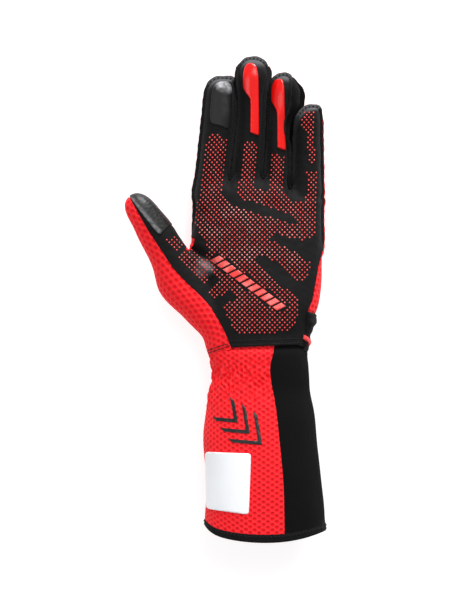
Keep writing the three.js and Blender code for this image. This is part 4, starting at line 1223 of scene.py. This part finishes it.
def surfacePatch(surface, shape, thickness, rounding, under=0.3, base=0.0, finer=1):
    points, triangles = surface
    near = shape(points) > -patchMargin
    points, triangles = compact(points, triangles[near[triangles].any(1)])
    for _ in range(finer):
        points, triangles = subdivide(points, triangles)
    points = ontoSkin(points)
    points, triangles, _ = cut(points, triangles, shape(points))
    points, triangles = largestPart(*tidyMesh(points, triangles, 0.04))
    normals = normalsOf(points)
    lift = base + roundedEdge(shape(points), thickness, rounding)
    return thicken(points + normals * lift[:, None], points - normals * under, triangles)


def planShape(outline):  # tells how far inside an outline in plan each point lies
    return lambda points: insideOutline(outline, points)


def roundShape(outline):  # the same for a smooth curve through places of the photo
    return planShape(closedCurve(fromPhoto(outline), 5))


palmSurface = (palmPoints, palmTriangles)
indexFilm = roundShape([
    (214, 86), (218, 82.6), (224, 81.4), (229, 82.6), (231.6, 88), (232, 100), (231, 116), (228.4, 128),
    (222, 126.6), (212.4, 123.2), (210.4, 118), (210.8, 104), (212, 93),
])
middleGrip = roundShape([
    (250.7, 63.6), (246.9, 64.9), (244.5, 69), (243.3, 75.6), (243.3, 82.2), (244, 88.9), (246.9, 94.1),
    (249.7, 98.3), (250.4, 104), (250.3, 118), (250.2, 131.4), (250.9, 132.6), (256.4, 134.8),
    (258, 134.9), (258.6, 133.5), (258.6, 118), (258.4, 96), (258.2, 78.4), (257.3, 70.9), (255.2, 65.4),
])
ringGrip = roundShape([
    (279.1, 79.2), (275.3, 80.8), (272.9, 85.1), (272, 90.8), (272, 100.2), (273.9, 105), (275.8, 108.8),
    (277, 114.5), (277.2, 130), (277.4, 145.7), (278.2, 147.6), (283.4, 149.8), (284.9, 149.9),
    (285.4, 148.6), (285.1, 135.3), (284.6, 106.9), (284, 87.9), (282.6, 80.9),
])
thumbFilmPlan = roundShape([
    (127, 190), (129.5, 196), (138, 208.5), (148.3, 222), (155.9, 231.2), (159.3, 234.4), (161.6, 234.6),
    (164, 231.6), (170, 226), (178, 221), (176, 205), (150, 188),
])


def thumbFilm(points):  # it wraps round the thumb to 3 mm from the seam on the far side
    x, y, z = points.T
    along, _ = thumbPlace(x, y)
    return np.minimum(thumbFilmPlan(points), z - thumbSeamHeight(along) - 3.0)


def thumbWrinkles(points):
    along, across = thumbPlace(points[:, 0], points[:, 1])
    bent = 1.6 * np.sin(across * 0.45)
    wave = np.sin(along * hand["thumbLength"] * 2.7 + bent + unevenness(points, 6, 21) * 2.5)
    return wave * (0.3 + 0.5 * unevenness(points, 6, 22)) + 0.9 * unevenness(points, 2.6, 23)


film = {"thick": 0.5, "round": 0.7, "slot": "touch_patch", "material": touchFilm, "wrinkle": 0.08}
grip = {"thick": 1.0, "round": 0.8, "slot": "silicone", "material": gripSilicone}
fingerPatches = [
    ("index_film", "index_tip_patch", indexFilm, film), ("thumb_film", "thumb_tip_patch", thumbFilm, film),
    ("middle_silicone", "middle_grip", middleGrip, grip), ("ring_silicone", "ring_grip", ringGrip, grip),
]
for name, node, shape, kind in fingerPatches:
    wall = surfacePatch(palmSurface, shape, kind["thick"], kind["round"])
    if shape is thumbFilm:
        top = wall[0][: len(wall[0]) // 2]
        creases = film["wrinkle"] * thumbWrinkles(top) * smooth(thumbFilm(top), 0.5, 2.5)
        top += normalsOf(top) * creases[:, None]
    dress(makePiece(name, *wall, kind["material"]), kind["slot"], node)
print("finger patches are made")


# The silicone print of the palm: a staggered field of dots, and a row of plain slanted bars

# spill: how far a dot may lie past its region; clear: how far it stays off the bars; facing: how much the
# leather has to face up for a dot
palmPrint = {
    "pitchX": 3.5, "pitchY": 3.5, "width": 1.32, "height": 0.8, "uneven": 0.12, "spill": 0.2, "clear": 1.2,
    "columns": (-70, 60), "rows": (-10, 140), "facing": 0.25,
}
# The lattice leans with the fingers, from this y upward
printLean = {"x": (-35, -6, 20, 40), "share": (0.11, 0.085, 0.055, 0.03), "from": 80}
slantedBars = {
    "count": 11, "width": 4.2, "height": 6.4, "from": (214, 257.5), "to": (282, 309), "slant": 1.6,
    "thick": 0.5, "round": 0.35,
}
printRegions = [
    [
        (212.4, 132.4), (226.7, 140), (224.8, 164), (222, 190.7), (224.8, 198), (232.4, 206),
        (237.5, 207), (253, 212), (268, 217), (283, 221.4), (293.5, 224.2), (297.3, 222.4),
        (296.9, 218.8), (290.2, 214.3), (283, 211.6), (267.9, 207), (253.6, 202.7), (246, 200.4),
        (240, 197), (238, 192.6), (239, 183), (242, 164), (243.9, 141), (257.3, 143.8), (256.4, 164),
        (254.4, 181), (256, 188), (261, 190.5), (268, 192), (270, 188), (271.7, 155), (286, 155.5),
        (284.6, 175), (284, 192), (289, 199.5), (297, 201.5), (305.5, 200), (307, 190), (307, 172),
        (316, 172), (316.6, 200), (316, 224), (314.7, 232.8), (309, 238.5), (304, 241), (290, 237.5),
        (275.9, 234.4), (271.6, 236.6), (271.2, 241), (281, 245.8), (293, 251), (303.5, 258.5),
        (310.3, 263.4), (308.9, 273.2), (306.3, 276.3), (300.9, 280.8), (296.4, 280.8), (285, 272),
        (272.8, 260), (262.5, 256.3), (256, 257), (254.8, 260.8), (264, 270), (274, 279), (283.9, 287.5),
        (289.5, 292), (294.3, 295.4), (298.6, 301), (299.1, 306.4), (296.7, 319.8), (290.5, 329.8),
        (286.7, 332), (260, 332.6), (235.9, 332.4), (233, 329.8), (228.3, 318.8), (225.4, 311),
        (223.4, 307.6), (225.4, 304.6), (231.6, 301), (236.9, 297.8), (234.6, 292), (230, 291.5),
        (226.5, 293), (221.6, 295.8), (215.4, 298.7), (210.1, 293.4), (208, 289.6), (212, 285.6),
        (217.6, 281), (216.4, 276), (209, 268), (205.5, 262), (207.6, 251), (205.8, 240), (201, 234),
        (197, 229), (195, 223), (196, 213.7), (199, 194.5), (201.8, 171.6), (204.7, 154), (208.5, 137),
    ],
    [
        (178.6, 257), (186, 251.5), (193, 250), (200, 254), (204.5, 262), (207, 268), (209.4, 276),
        (207.6, 284), (203, 283.5), (195, 275), (186, 266),
    ],
    [
        (304.4, 112), (313.7, 111.6), (314.4, 124), (314.3, 150), (314.4, 164.6), (308, 159),
        (307.6, 134), (300.7, 127), (300.7, 120),
    ],
    [
        (167, 240), (175, 236), (180, 238), (184.5, 243), (181, 251.5), (174, 249),
    ],
]
palmTree = BVHTree.FromPolygons(palmOuter.tolist(), palmTriangles.tolist())
backTree = BVHTree.FromPolygons(backFine.tolist(), backFiner.tolist())


def dropped(plan, tree=palmTree):  # plan places brought down on a panel, with which of them land on it
    hits = [tree.ray_cast(Vector((x, y, 90)), Vector((0, 0, -1)))[0] for x, y in plan]
    landed = np.array([hit is not None for hit in hits])
    return np.array([tuple(hit) if hit is not None else (0, 0, 0) for hit in hits]), landed


def barCorners():
    start, end = fromPhoto([slantedBars["from"], slantedBars["to"]])
    length = math.hypot(*(end - start))
    ahead = (end - start) / length
    across = np.array([-ahead[1], ahead[0]])
    half, rise = ahead * slantedBars["width"] / 2, across * slantedBars["height"] / 2
    top = rise + ahead * slantedBars["slant"]
    for i in range(slantedBars["count"]):
        middle = start + ahead * length * (i + 0.5) / slantedBars["count"]
        yield np.array([middle - half - top, middle + half - top, middle + half + top, middle - half + top])


bars = [planShape(corners) for corners in barCorners()]
barParts = [surfacePatch(palmSurface, bar, slantedBars["thick"], slantedBars["round"]) for bar in bars]
dress(makePiece("palm_bars", *joined(*barParts), printSilicone), "silicone")

columns, rows = np.meshgrid(np.arange(*palmPrint["columns"]), np.arange(*palmPrint["rows"]))
lattice = np.stack([columns.ravel() * palmPrint["pitchX"] / 2, rows.ravel() * palmPrint["pitchY"] / 2], 1)
lattice = lattice[(columns + rows).ravel() % 2 == 0]
upward = np.maximum(lattice[:, 1] - printLean["from"], 0)
lattice[:, 0] += upward * np.interp(lattice[:, 0], printLean["x"], printLean["share"])
printed = np.zeros(len(lattice), bool)
for region in printRegions:
    printed |= insideOutline(fromPhoto(region), lattice) > -palmPrint["spill"]
for bar in bars:
    printed &= bar(lattice) < -palmPrint["clear"]
dots, landed = dropped(lattice[printed])
dots = dots[landed]
dotNormals = normalsOf(dots)
high = dotNormals[:, 2] > palmPrint["facing"]
dots, dotNormals = dots[high], dotNormals[high]
palmDots = grown("palm_dots", dotTree, dots, [], {
    "Width": palmPrint["width"] * mm, "Height": palmPrint["height"] * mm, "Uneven": palmPrint["uneven"],
    "Material": printSilicone,
}, dotNormals)
dress(palmDots, "silicone")
print(len(dots), "dots are printed")


# Rows of stitches on the hand

def stitchRow(name, slot, plan, stitch, raised, tree):
    path, landed = dropped(evenly(fromPhoto(plan), 1.0), tree)
    path = path[landed] + normalsOf(path[landed]) * raised
    stitched(name, slot, path, chains(path), stitch)


palmRow = {"Pitch": 1.7, "Length": 1.3, "Thickness": 0.5, "Material": darkThread}
thumbRow = {"Pitch": 1.5, "Length": 1.5, "Thickness": 0.7, "Material": darkThread}
rowsOfStitches = {
    "palm_hem_stitches": [(232, 345.1), (268, 343.9), (303, 342.6)],
    "palm_turn_stitches": [(231, 340.6), (268, 339.4), (304, 338.2)],
    "thumb_hem_stitches": [(206.5, 351), (208.9, 350), (219.2, 346), (229.6, 343)],
    "thumb_turn_stitches": [(207, 353.8), (208.9, 352.9), (219.2, 349.3), (230.8, 345.1)],
}
for name, plan in rowsOfStitches.items():
    if name.startswith("palm"):
        stitchRow(name, "suede", plan, palmRow, 0.1, palmTree)
    else:
        stitchRow(name, "red_mesh", plan, thumbRow, 0.05, backTree)


# The cuff: a sleeve of red cloth with a panel of stretch knit on the little side

# The keys with short say by what share the hem is drawn up there. underSeam is an angle in degrees, and
# meshRound about the cloth's width round the sleeve, in mm
cuff = {
    "length": 137, "hemWidth": 85.4, "hemDepth": 58, "round": 2.1, "wall": 1.7, "underSeam": -48,
    "shortThumb": 0.047, "shortOuter": 0.057, "shortUnder": 0.1, "shortCorner": 0.034,
    "step": 1.15, "meshRound": 130, "middle": -8, "gather": 1.0,
    "tuckFrom": -3.2, "tuckDepth": 1.75, "tuckOver": (1.2, 5.5), "innerOver": (0, 8),
}
knit = {
    "step": 0.27, "row": 2.2, "round": 96, "rib": 1.05, "ribDepth": 0.12, "edge": 0.25, "uneven": 0.3,
    "hemOver": (126, 131),
}
cuffSections = table("at left right floor top gather seam", [
    (0.003, -0.426, 0.426, 0.063, 0.741, 0.2, 0.145),
    (0.05, -0.398, 0.412, 0.075, 0.76, 0.3, 0.128),
    (0.1, -0.377, 0.42, 0.085, 0.765, 0.65, 0.108),
    (0.165, -0.365, 0.43, 0.07, 0.775, 1.0, 0.11),
    (0.235, -0.394, 0.437, 0.04, 0.8, 0.7, 0.13),
    (0.33, -0.414, 0.462, 0, 0.85, 0.25, 0.156),
    (0.46, -0.436, 0.488, -0.03, 0.9, 0.08, 0.178),
    (0.7, -0.419, 0.525, -0.04, 0.965, 0, 0.212),
    (1, -0.43, 0.566, 0.03, 1, 0, 0.226),
])


def cuffAt(down):  # place down the cuff, as a share of its length
    return np.clip(down / cuff["length"], cuffSections["at"][0], 1)


def cuffSurface(angle, down):  # down is in mm from the wrist seam to the hem, before the hem's curve
    at = cuffAt(down)
    left, right = (read(cuffSections, side, at) * cuff["hemWidth"] for side in ("left", "right"))
    low, high = (read(cuffSections, side, at) * cuff["hemDepth"] for side in ("floor", "top"))
    c, s = np.cos(angle), np.sin(angle)
    short = np.where(c < 0, cuff["shortThumb"], cuff["shortOuter"]) * c ** 2
    short = short + cuff["shortUnder"] * np.minimum(s, 0) ** 2
    short = short + cuff["shortCorner"] * np.where(c < 0, c ** 10, 0)
    x = (left + right) / 2 + (right - left) / 2 * power(c, 2 / cuff["round"])
    z = (low + high) / 2 + (high - low) / 2 * power(s, 2 / cuff["round"])
    z = np.where(z < 2, 2 * np.exp((z - 2) / 2), z)  # flattened where it lies on the floor
    return np.stack([x, -down * (1 - short * at ** 2), z], -1)


def cuffNormal(angle, down):
    around = cuffSurface(angle + 0.01, down) - cuffSurface(angle - 0.01, down)
    along = cuffSurface(angle, down + 0.4) - cuffSurface(angle, down - 0.4)
    normal = np.cross(around, along)
    return normal / np.linalg.norm(normal, axis=-1, keepdims=True)


def seamAngle(down):  # where the red cloth meets the knit on the upper side
    at = cuffAt(down)
    left, right = (read(cuffSections, side, at) for side in ("left", "right"))
    across = (read(cuffSections, "seam", at) - (left + right) / 2) / (right - left) * 2
    return np.arccos(power(across, cuff["round"] / 2))


def cuffRows(step):
    count = int((cuff["length"] - cuff["tuckFrom"]) / step) + 1
    return np.linspace(cuff["tuckFrom"], cuff["length"], count)


# Angles at even steps round the cuff for each place down it, with the length of cloth from its middle line
def cuffGrid(downs, start, end, count):
    dense = np.linspace(0, 1, 361)[None, :]
    angles = start[:, None] + (end - start)[:, None] * dense
    points = cuffSurface(angles, np.broadcast_to(downs[:, None], angles.shape))
    lengths = np.linalg.norm(np.diff(points, axis=1), axis=2).cumsum(1)
    lengths = np.concatenate([np.zeros((len(downs), 1)), lengths], 1)
    grid, cloth = np.empty((len(downs), count)), np.empty((len(downs), count))
    for i in range(len(downs)):
        places = np.linspace(0, lengths[i, -1], count)
        grid[i] = np.interp(places, lengths[i], angles[i])
        onTop = points[i, :, 2] > points[i, :, 2].mean()
        topX, topLength = points[i, onTop, 0], lengths[i, onTop]
        order = np.argsort(-topX)
        cloth[i] = places - np.interp(-cuff["middle"], -topX[order], topLength[order])
    return grid, cloth, np.broadcast_to(downs[:, None], grid.shape)


def gathers(cloth, down):  # short uneven pleats where the cuff is drawn in at the wrist
    amount = read(cuffSections, "gather", cuffAt(down))
    u = cloth + 1.6 * np.sin(down * 0.33 + cloth * 0.19) + 1.1 * np.sin(down * 0.57 - cloth * 0.31 + 1.7)
    wave = np.sin(u * 1.42 + down * 0.42) + 0.9 * np.sin(u * 1.17 - down * 0.37 + 0.6)
    wave = wave + 0.6 * np.sin(u * 0.62 - down * 0.2 + 2.1)
    patchy = 0.7 + 0.3 * np.sin(down * 0.52 + cloth * 0.23) * np.sin(cloth * 0.37 + 0.8)
    return cuff["gather"] * amount * wave * patchy * 0.8


def tuck(down):  # the cuff's start lies sunk under the edge of the hand
    return cuff["tuckDepth"] * (1 - smooth(down, *cuff["tuckOver"]))


def cuffHeight(cloth, down):
    soft = 0.35 * np.sin(cloth * 0.11 + down * 0.05) * smooth(down, 30, 60) * (1 - smooth(down, 110, 130))
    return gathers(cloth, down) * smooth(down, 2, 7) - tuck(down) + soft


downs = cuffRows(cuff["step"])
underAngle = np.full(len(downs), np.radians(360 + cuff["underSeam"]))
columns = int(cuff["meshRound"] / cuff["step"])
sleeveGrid, sleeveCloth, sleeveDown = cuffGrid(downs, seamAngle(downs), underAngle, columns)
sleeveCoarse = splitQuads(gridFaces(*sleeveGrid.shape))
coarseAngle, coarseCloth, coarseDown = sleeveGrid.ravel(), sleeveCloth.ravel(), sleeveDown.ravel()
sleevePoints = cuffSurface(coarseAngle, coarseDown)
_, sleeveFine, fineAngle, fineCloth, fineDown = subdivide(
    sleevePoints, sleeveCoarse, coarseAngle, coarseCloth, coarseDown)
sleeveUV = np.stack([fineCloth, fineDown], 1)
sleeveEdge = np.zeros(len(fineAngle), bool)
sleeveEdge[np.unique(borderEdges(sleeveFine))] = True
height = cuffHeight(fineCloth, fineDown) - np.where(sleeveEdge, 0.3, meshHoles(sleeveUV))
sleeveOuter = cuffSurface(fineAngle, fineDown) + cuffNormal(fineAngle, fineDown) * height[:, None]
tucked = 1 - smooth(coarseDown, *cuff["innerOver"])
innerHeight = cuffHeight(coarseCloth, coarseDown) * (1 - tucked) - cuff["wall"] - cuff["tuckDepth"] * tucked
sleeveInner = sleevePoints + cuffNormal(coarseAngle, coarseDown) * innerHeight[:, None]
sleeveWall = lined(sleeveOuter, sleeveFine, sleeveInner, sleeveCoarse)
sleeve = makePiece("cuff_mesh", *sleeveWall, redMesh, np.vstack([sleeveUV, sleeveUV[: len(sleevePoints)]]))
dress(sleeve, "red_mesh", "cuff_sleeve")


# The cuff's panels lie edge to edge; the knit's ribs run down it

downs = cuffRows(knit["row"])
underAngle = np.full(len(downs), np.radians(cuff["underSeam"]))
columns = int(knit["round"] / knit["step"])
knitGrid, knitCloth, knitDown = cuffGrid(downs, underAngle, seamAngle(downs), columns)
knitPoints, knitNormals = cuffSurface(knitGrid, knitDown), cuffNormal(knitGrid, knitDown)
ribs = knit["ribDepth"] * np.cos(knitCloth * 2 * np.pi / knit["rib"])
column = np.arange(knitGrid.shape[1])
edgeOf = np.minimum(column, column[::-1]) * knit["step"]
knitHeight = ribs - knit["edge"] * (1 - smooth(edgeOf, 0, 1.2))[None, :] - tuck(knitDown)
soft = unevenness(np.stack([knitCloth, knitDown, knitCloth * 0], -1), 30, 41)
knitHeight = (1 - smooth(knitDown, *knit["hemOver"])) * (knitHeight + knit["uneven"] * soft)
knitOuter = knitPoints + knitNormals * knitHeight[..., None]
innerDepth = cuff["wall"] + cuff["tuckDepth"] * (1 - smooth(knitDown, *cuff["innerOver"]))
knitInner = knitPoints - knitNormals * innerDepth[..., None]
knitFaces = splitQuads(gridFaces(*knitGrid.shape))
knitWall = thicken(knitOuter.reshape(-1, 3), knitInner.reshape(-1, 3), knitFaces)
knitUV = np.stack([knitCloth.ravel(), knitDown.ravel()], 1)
knitPiece = makePiece("cuff_knit", *knitWall, stretchKnit, np.vstack([knitUV, knitUV]))
dress(knitPiece, "stretch_knit", "cuff_stretch_panel")

# The tape that binds the hem, folded over the cloth's edge. Its section goes out from the cloth and up
# from the hem, in mm
binding = {
    "columns": 260, "lowest": 0.05, "stitchUp": 4.1, "stitchOut": 0.8,
    "section": [
        (-0.1, 5.7), (0.2, 5.65), (0.34, 5.3), (0.38, 4.2), (0.3, 2.9), (0.36, 1.6), (0.3, 0.8), (0.0, 0.2),
        (-0.5, -0.1), (-1.6, -0.1), (-2.5, 0.2), (-2.9, 0.9), (-2.9, 4.2), (-2.75, 5.3), (-2.2, 5.7),
        (-1.2, 5.7),
    ],
}
hemStitch = {"Pitch": 2.6, "Length": 1.9, "Thickness": 0.36, "Material": darkThread}
turns = np.linspace(0, 2 * np.pi, binding["columns"], endpoint=False)
hem = cuffSurface(turns, np.full(len(turns), cuff["length"]))
lengthRound = np.concatenate([[0], np.cumsum(np.linalg.norm(np.diff(hem, axis=0), axis=1))])
rings, tapeUV = [], []
for out, rise in binding["section"]:
    down = np.full(len(turns), cuff["length"] - max(rise, 0))
    out = out + (0.12 * np.sin(turns * 37) + 0.08 * np.sin(turns * 83 + 1) if out > 0.3 else 0)
    ring = cuffSurface(turns, down) + cuffNormal(turns, down) * np.reshape(out * np.ones(len(turns)), (-1, 1))
    ring[:, 1] += min(rise, 0)
    ring[:, 2] = np.maximum(ring[:, 2], binding["lowest"])
    rings.append(ring)
    tapeUV.append(np.stack([np.full(len(turns), rise - out), lengthRound], 1))
rings, tapeUV = np.stack(rings, 1), np.stack(tapeUV, 1)
tapeFaces = splitQuads(ringFaces(*rings.shape[:2]))
tape = makePiece("hem_tape", rings.reshape(-1, 3), tapeFaces, bindingTape, tapeUV.reshape(-1, 2))
dress(tape, "binding", "hem_binding")
down = np.full(len(turns), cuff["length"] - binding["stitchUp"])
line = cuffSurface(turns, down) + cuffNormal(turns, down) * binding["stitchOut"]
stitched("hem_stitches", "binding", line, chains(line, closed=True), hemStitch)
print("the cuff is made")


# What is laid on the cuff: the blank number film, and plain chevrons

coarseTree = BVHTree.FromPolygons(sleevePoints.tolist(), sleeveCoarse.tolist())
sleevePattern = np.stack([coarseCloth, coarseDown], 1)


# Cloth places (round, down) of plan places on the upper side of the sleeve
def onCloth(plan):
    found = []
    for x, y in plan:
        _, _, face, _ = coarseTree.ray_cast(Vector((x, y, 90)), Vector((0, 0, -1)))
        if face is None:
            _, _, face, _ = coarseTree.find_nearest(Vector((x, y, 30)))
        corners = sleeveCoarse[face]
        place = coarseTree.find_nearest(Vector((x, y, sleevePoints[corners[0], 2])))[0]
        weights = barycentric_transform(Vector((x, y, place.z)), *(Vector(sleevePoints[c]) for c in corners),
                                        *(Vector((*sleevePattern[c], 0)) for c in corners))
        found.append(weights[:2])
    return np.array(found)


# A patch on the sleeve, its outline given in cloth lengths round and down the cuff
def sleevePatch(outline, look):
    near = insideOutline(outline, sleevePattern) > -patchMargin
    triangles = sleeveCoarse[near[sleeveCoarse].any(1)]
    places = np.column_stack([sleevePattern, coarseAngle, coarseDown])
    places, triangles = subdivide(*compact(places, triangles))
    places, triangles, _ = cut(places, triangles, insideOutline(outline, places))
    cloth, triangles, turn, down = tidyMesh(places[:, :2], triangles, 0.04, places[:, 2], places[:, 3])
    soft = cuffHeight(cloth[:, 0], down)
    lift = soft + look["base"] + roundedEdge(insideOutline(outline, cloth), look["thick"], look["round"])
    points, normals = cuffSurface(turn, down), cuffNormal(turn, down)
    return thicken(points + normals * lift[:, None], points + normals * (soft - 0.35)[:, None], triangles)


def roundedOutline(corners, radius, steps=5):
    corners = np.asarray(corners, float)
    outline = []
    for before, here, after in zip(np.roll(corners, 1, 0), corners, np.roll(corners, -1, 0)):
        a = here + (before - here) / np.linalg.norm(before - here) * radius
        b = here + (after - here) / np.linalg.norm(after - here) * radius
        for t in np.linspace(0, 1, steps):
            outline.append((1 - t) ** 2 * a + 2 * t * (1 - t) * here + t ** 2 * b)
    return np.array(outline)


numberFilm = {
    "corners": [(250.9, 452.3), (248.6, 512.7), (206.2, 507.8), (205.8, 451.2)], "corner": 2.2,
    "thick": 0.45, "round": 0.35, "base": 0.1,
}
filmEdge = evenly(roundedOutline(fromPhoto(numberFilm["corners"]), numberFilm["corner"]), 1.5, closed=True)
wall = sleevePatch(onCloth(filmEdge), numberFilm)
dress(makePiece("number_film", *wall, whiteFilm), "white_panel", "number_panel")

# Arms and stroke are in pixels of the photo
chevrons = {
    "apex": [(262, 444), (250, 433), (238, 422)], "arms": (30, 26, 22), "stroke": 5.9, "toward": (54, 50),
    "open": 38, "thick": 0.3, "round": 0.25, "base": 0.08,
}


def chevronOutlines():
    ahead = np.array([chevrons["toward"][0], -chevrons["toward"][1]], float)
    ahead /= np.linalg.norm(ahead)
    opened = math.radians(chevrons["open"])
    thick = ahead * chevrons["stroke"] * photo["pixel"]
    for apex, arm in zip(fromPhoto(chevrons["apex"]), chevrons["arms"]):
        sides = []
        for turn in (opened, -opened):
            c, s = math.cos(turn), math.sin(turn)
            back = -np.array([ahead[0] * c - ahead[1] * s, ahead[0] * s + ahead[1] * c])
            sides.append(apex + back * arm * photo["pixel"])
        yield np.array([apex, sides[0], sides[0] - thick, apex - thick, sides[1] - thick, sides[1]])


chevronParts = [sleevePatch(onCloth(outline), chevrons) for outline in chevronOutlines()]
dress(makePiece("cuff_chevrons", *joined(*chevronParts), darkFilm), "binding")
print("the cuff's films are made")


# The strap over the seam at the wrist, and its short red tab

# low, high, slopeFrom and bulgeAt are places in mm, and lap is how far the strap reaches over the palm's
# edge. to is an angle under the wrist, and perDegree the mm that a degree is worth there
strap = {
    "low": -5.0, "taper": 0.5, "high": 24.0, "slope": 0.5, "slopeFrom": 35.5, "slopeOver": 9, "lap": 0.4,
    "to": -112, "perDegree": 0.55, "thick": 1.3, "round": 0.9, "under": 0.2, "base": 0.25,
    "bulge": 1.9, "bulgeAt": 15, "bulgeOver": 5,
}


def strapShape(points):
    x, y, z = points.T
    at = palmAt(x, y)
    left, right = (read(palmSections, side, at) * hand["palmWidth"] for side in ("left", "right"))
    low, high = (read(palmSections, side, at) * hand["palmDepth"] for side in ("floor", "top"))
    a, b = (right - left) / 2, (high - low) / 2
    turn = np.degrees(np.arctan2((z - (low + high) / 2) / b, (x - (left + right) / 2) / a))
    edge = 0.5 * np.sin(turn * 0.11)
    palmEdge = np.interp(-y, -littleEdge[:, 1], littleEdge[:, 0])
    high = strap["high"] - strap["slope"] * np.clip(x - strap["slopeFrom"], 0, strap["slopeOver"])
    beside = np.where(turn > 0, x - palmEdge + strap["lap"], farOut)
    under = (turn - strap["to"]) * strap["perDegree"]
    return np.minimum.reduce([y - strap["low"] - edge, high + edge - y, beside, under])


wall = surfacePatch(coarseSkin, strapShape, strap["thick"], strap["round"], strap["under"], strap["base"], 2)
top = wall[0][: len(wall[0]) // 2]
inside, y = strapShape(top), top[:, 1]
ridges = 0.35 * np.sin(y * 0.9 + 0.7 * np.sin(top[:, 2] * 0.2)) * smooth(inside, 0.5, 2)
bulge = strap["bulge"] * np.exp(-((y - strap["bulgeAt"]) / strap["bulgeOver"]) ** 2) * smooth(inside, 0, 3)
taper = (strap["thick"] + 0.1) * (1 - smooth(y, strap["low"], strap["taper"]))
top += normalsOf(top) * (ridges + bulge - taper)[:, None]
dress(makePiece("strap_band", *wall, strapKnit, wall[0][:, 1:]), "stretch_knit", "wrist_strap")

tab = {
    "outline": [(302.7, 334.6), (306.0, 337.0), (308.2, 340.0), (308.7, 342.8), (307.0, 345.8),
                (305.8, 342.4), (304.0, 340.1), (302.2, 338.9)],
    "above": 16, "thick": 1.2, "round": 0.6, "under": -0.8, "base": 1.3,
}


def tabShape(points):
    return np.minimum(insideOutline(fromPhoto(tab["outline"]), points), points[:, 2] - tab["above"])


wall = surfacePatch(coarseSkin, tabShape, tab["thick"], tab["round"], tab["under"], tab["base"], 2)
dress(makePiece("tab_tape", *wall, redTape), "red_tape", "strap_tab")
print("strap and tab are made")


# The camera, the floor and the light

def studio():
    middle, away = (0.00012, -0.00047, 0.026), 3.5  # what the camera looks at, and from how high above it
    camera = bpy.data.cameras.new("camera")
    camera.sensor_fit, camera.sensor_height = "VERTICAL", 24
    camera.lens = camera.sensor_height * away / (photo["rows"] * photo["pixel"] * mm)
    camera.clip_end = 50
    eye = bpy.data.objects.new("camera", camera)
    eye.location = (middle[0], middle[1], middle[2] + away)
    bpy.context.scene.collection.objects.link(eye)
    bpy.context.scene.camera = eye

    floorMesh = bpy.data.meshes.new("floor")
    floorMesh.from_pydata([(-3, -3, 0), (3, -3, 0), (3, 3, 0), (-3, 3, 0)], [], [(0, 1, 2, 3)])
    floorMesh.materials.append(floorMaterial())
    floor = bpy.data.objects.new("floor", floorMesh)
    bpy.context.scene.collection.objects.link(floor)

    world = bpy.data.worlds.new("studio")
    world.use_nodes = True
    world.node_tree.nodes["Background"].inputs["Color"].default_value = (1, 1, 1, 1)
    world.node_tree.nodes["Background"].inputs["Strength"].default_value = 0.41
    bpy.context.scene.world = world
    lamps = [
        {"name": "keyLight", "place": (0.25, 0.55, 1.3), "size": 0.7, "watts": 6},
        {"name": "topLight", "place": (0.3, 1.2, 0.42), "size": 0.6, "watts": 26},
        {"name": "fillLight", "place": (-0.8, -0.4, 1.1), "size": 0.9, "watts": 4},
    ]
    for lamp in lamps:
        light = bpy.data.lights.new(lamp["name"], "AREA")
        light.size, light.energy = lamp["size"], lamp["watts"]
        source = bpy.data.objects.new(lamp["name"], light)
        source.location = lamp["place"]
        source.rotation_euler = (Vector((0, 0, 0)) - source.location).to_track_quat("-Z", "Y").to_euler()
        bpy.context.scene.collection.objects.link(source)
    bpy.context.scene.view_settings.view_transform = "Standard"
    bpy.context.scene.view_settings.look = "None"


studio()
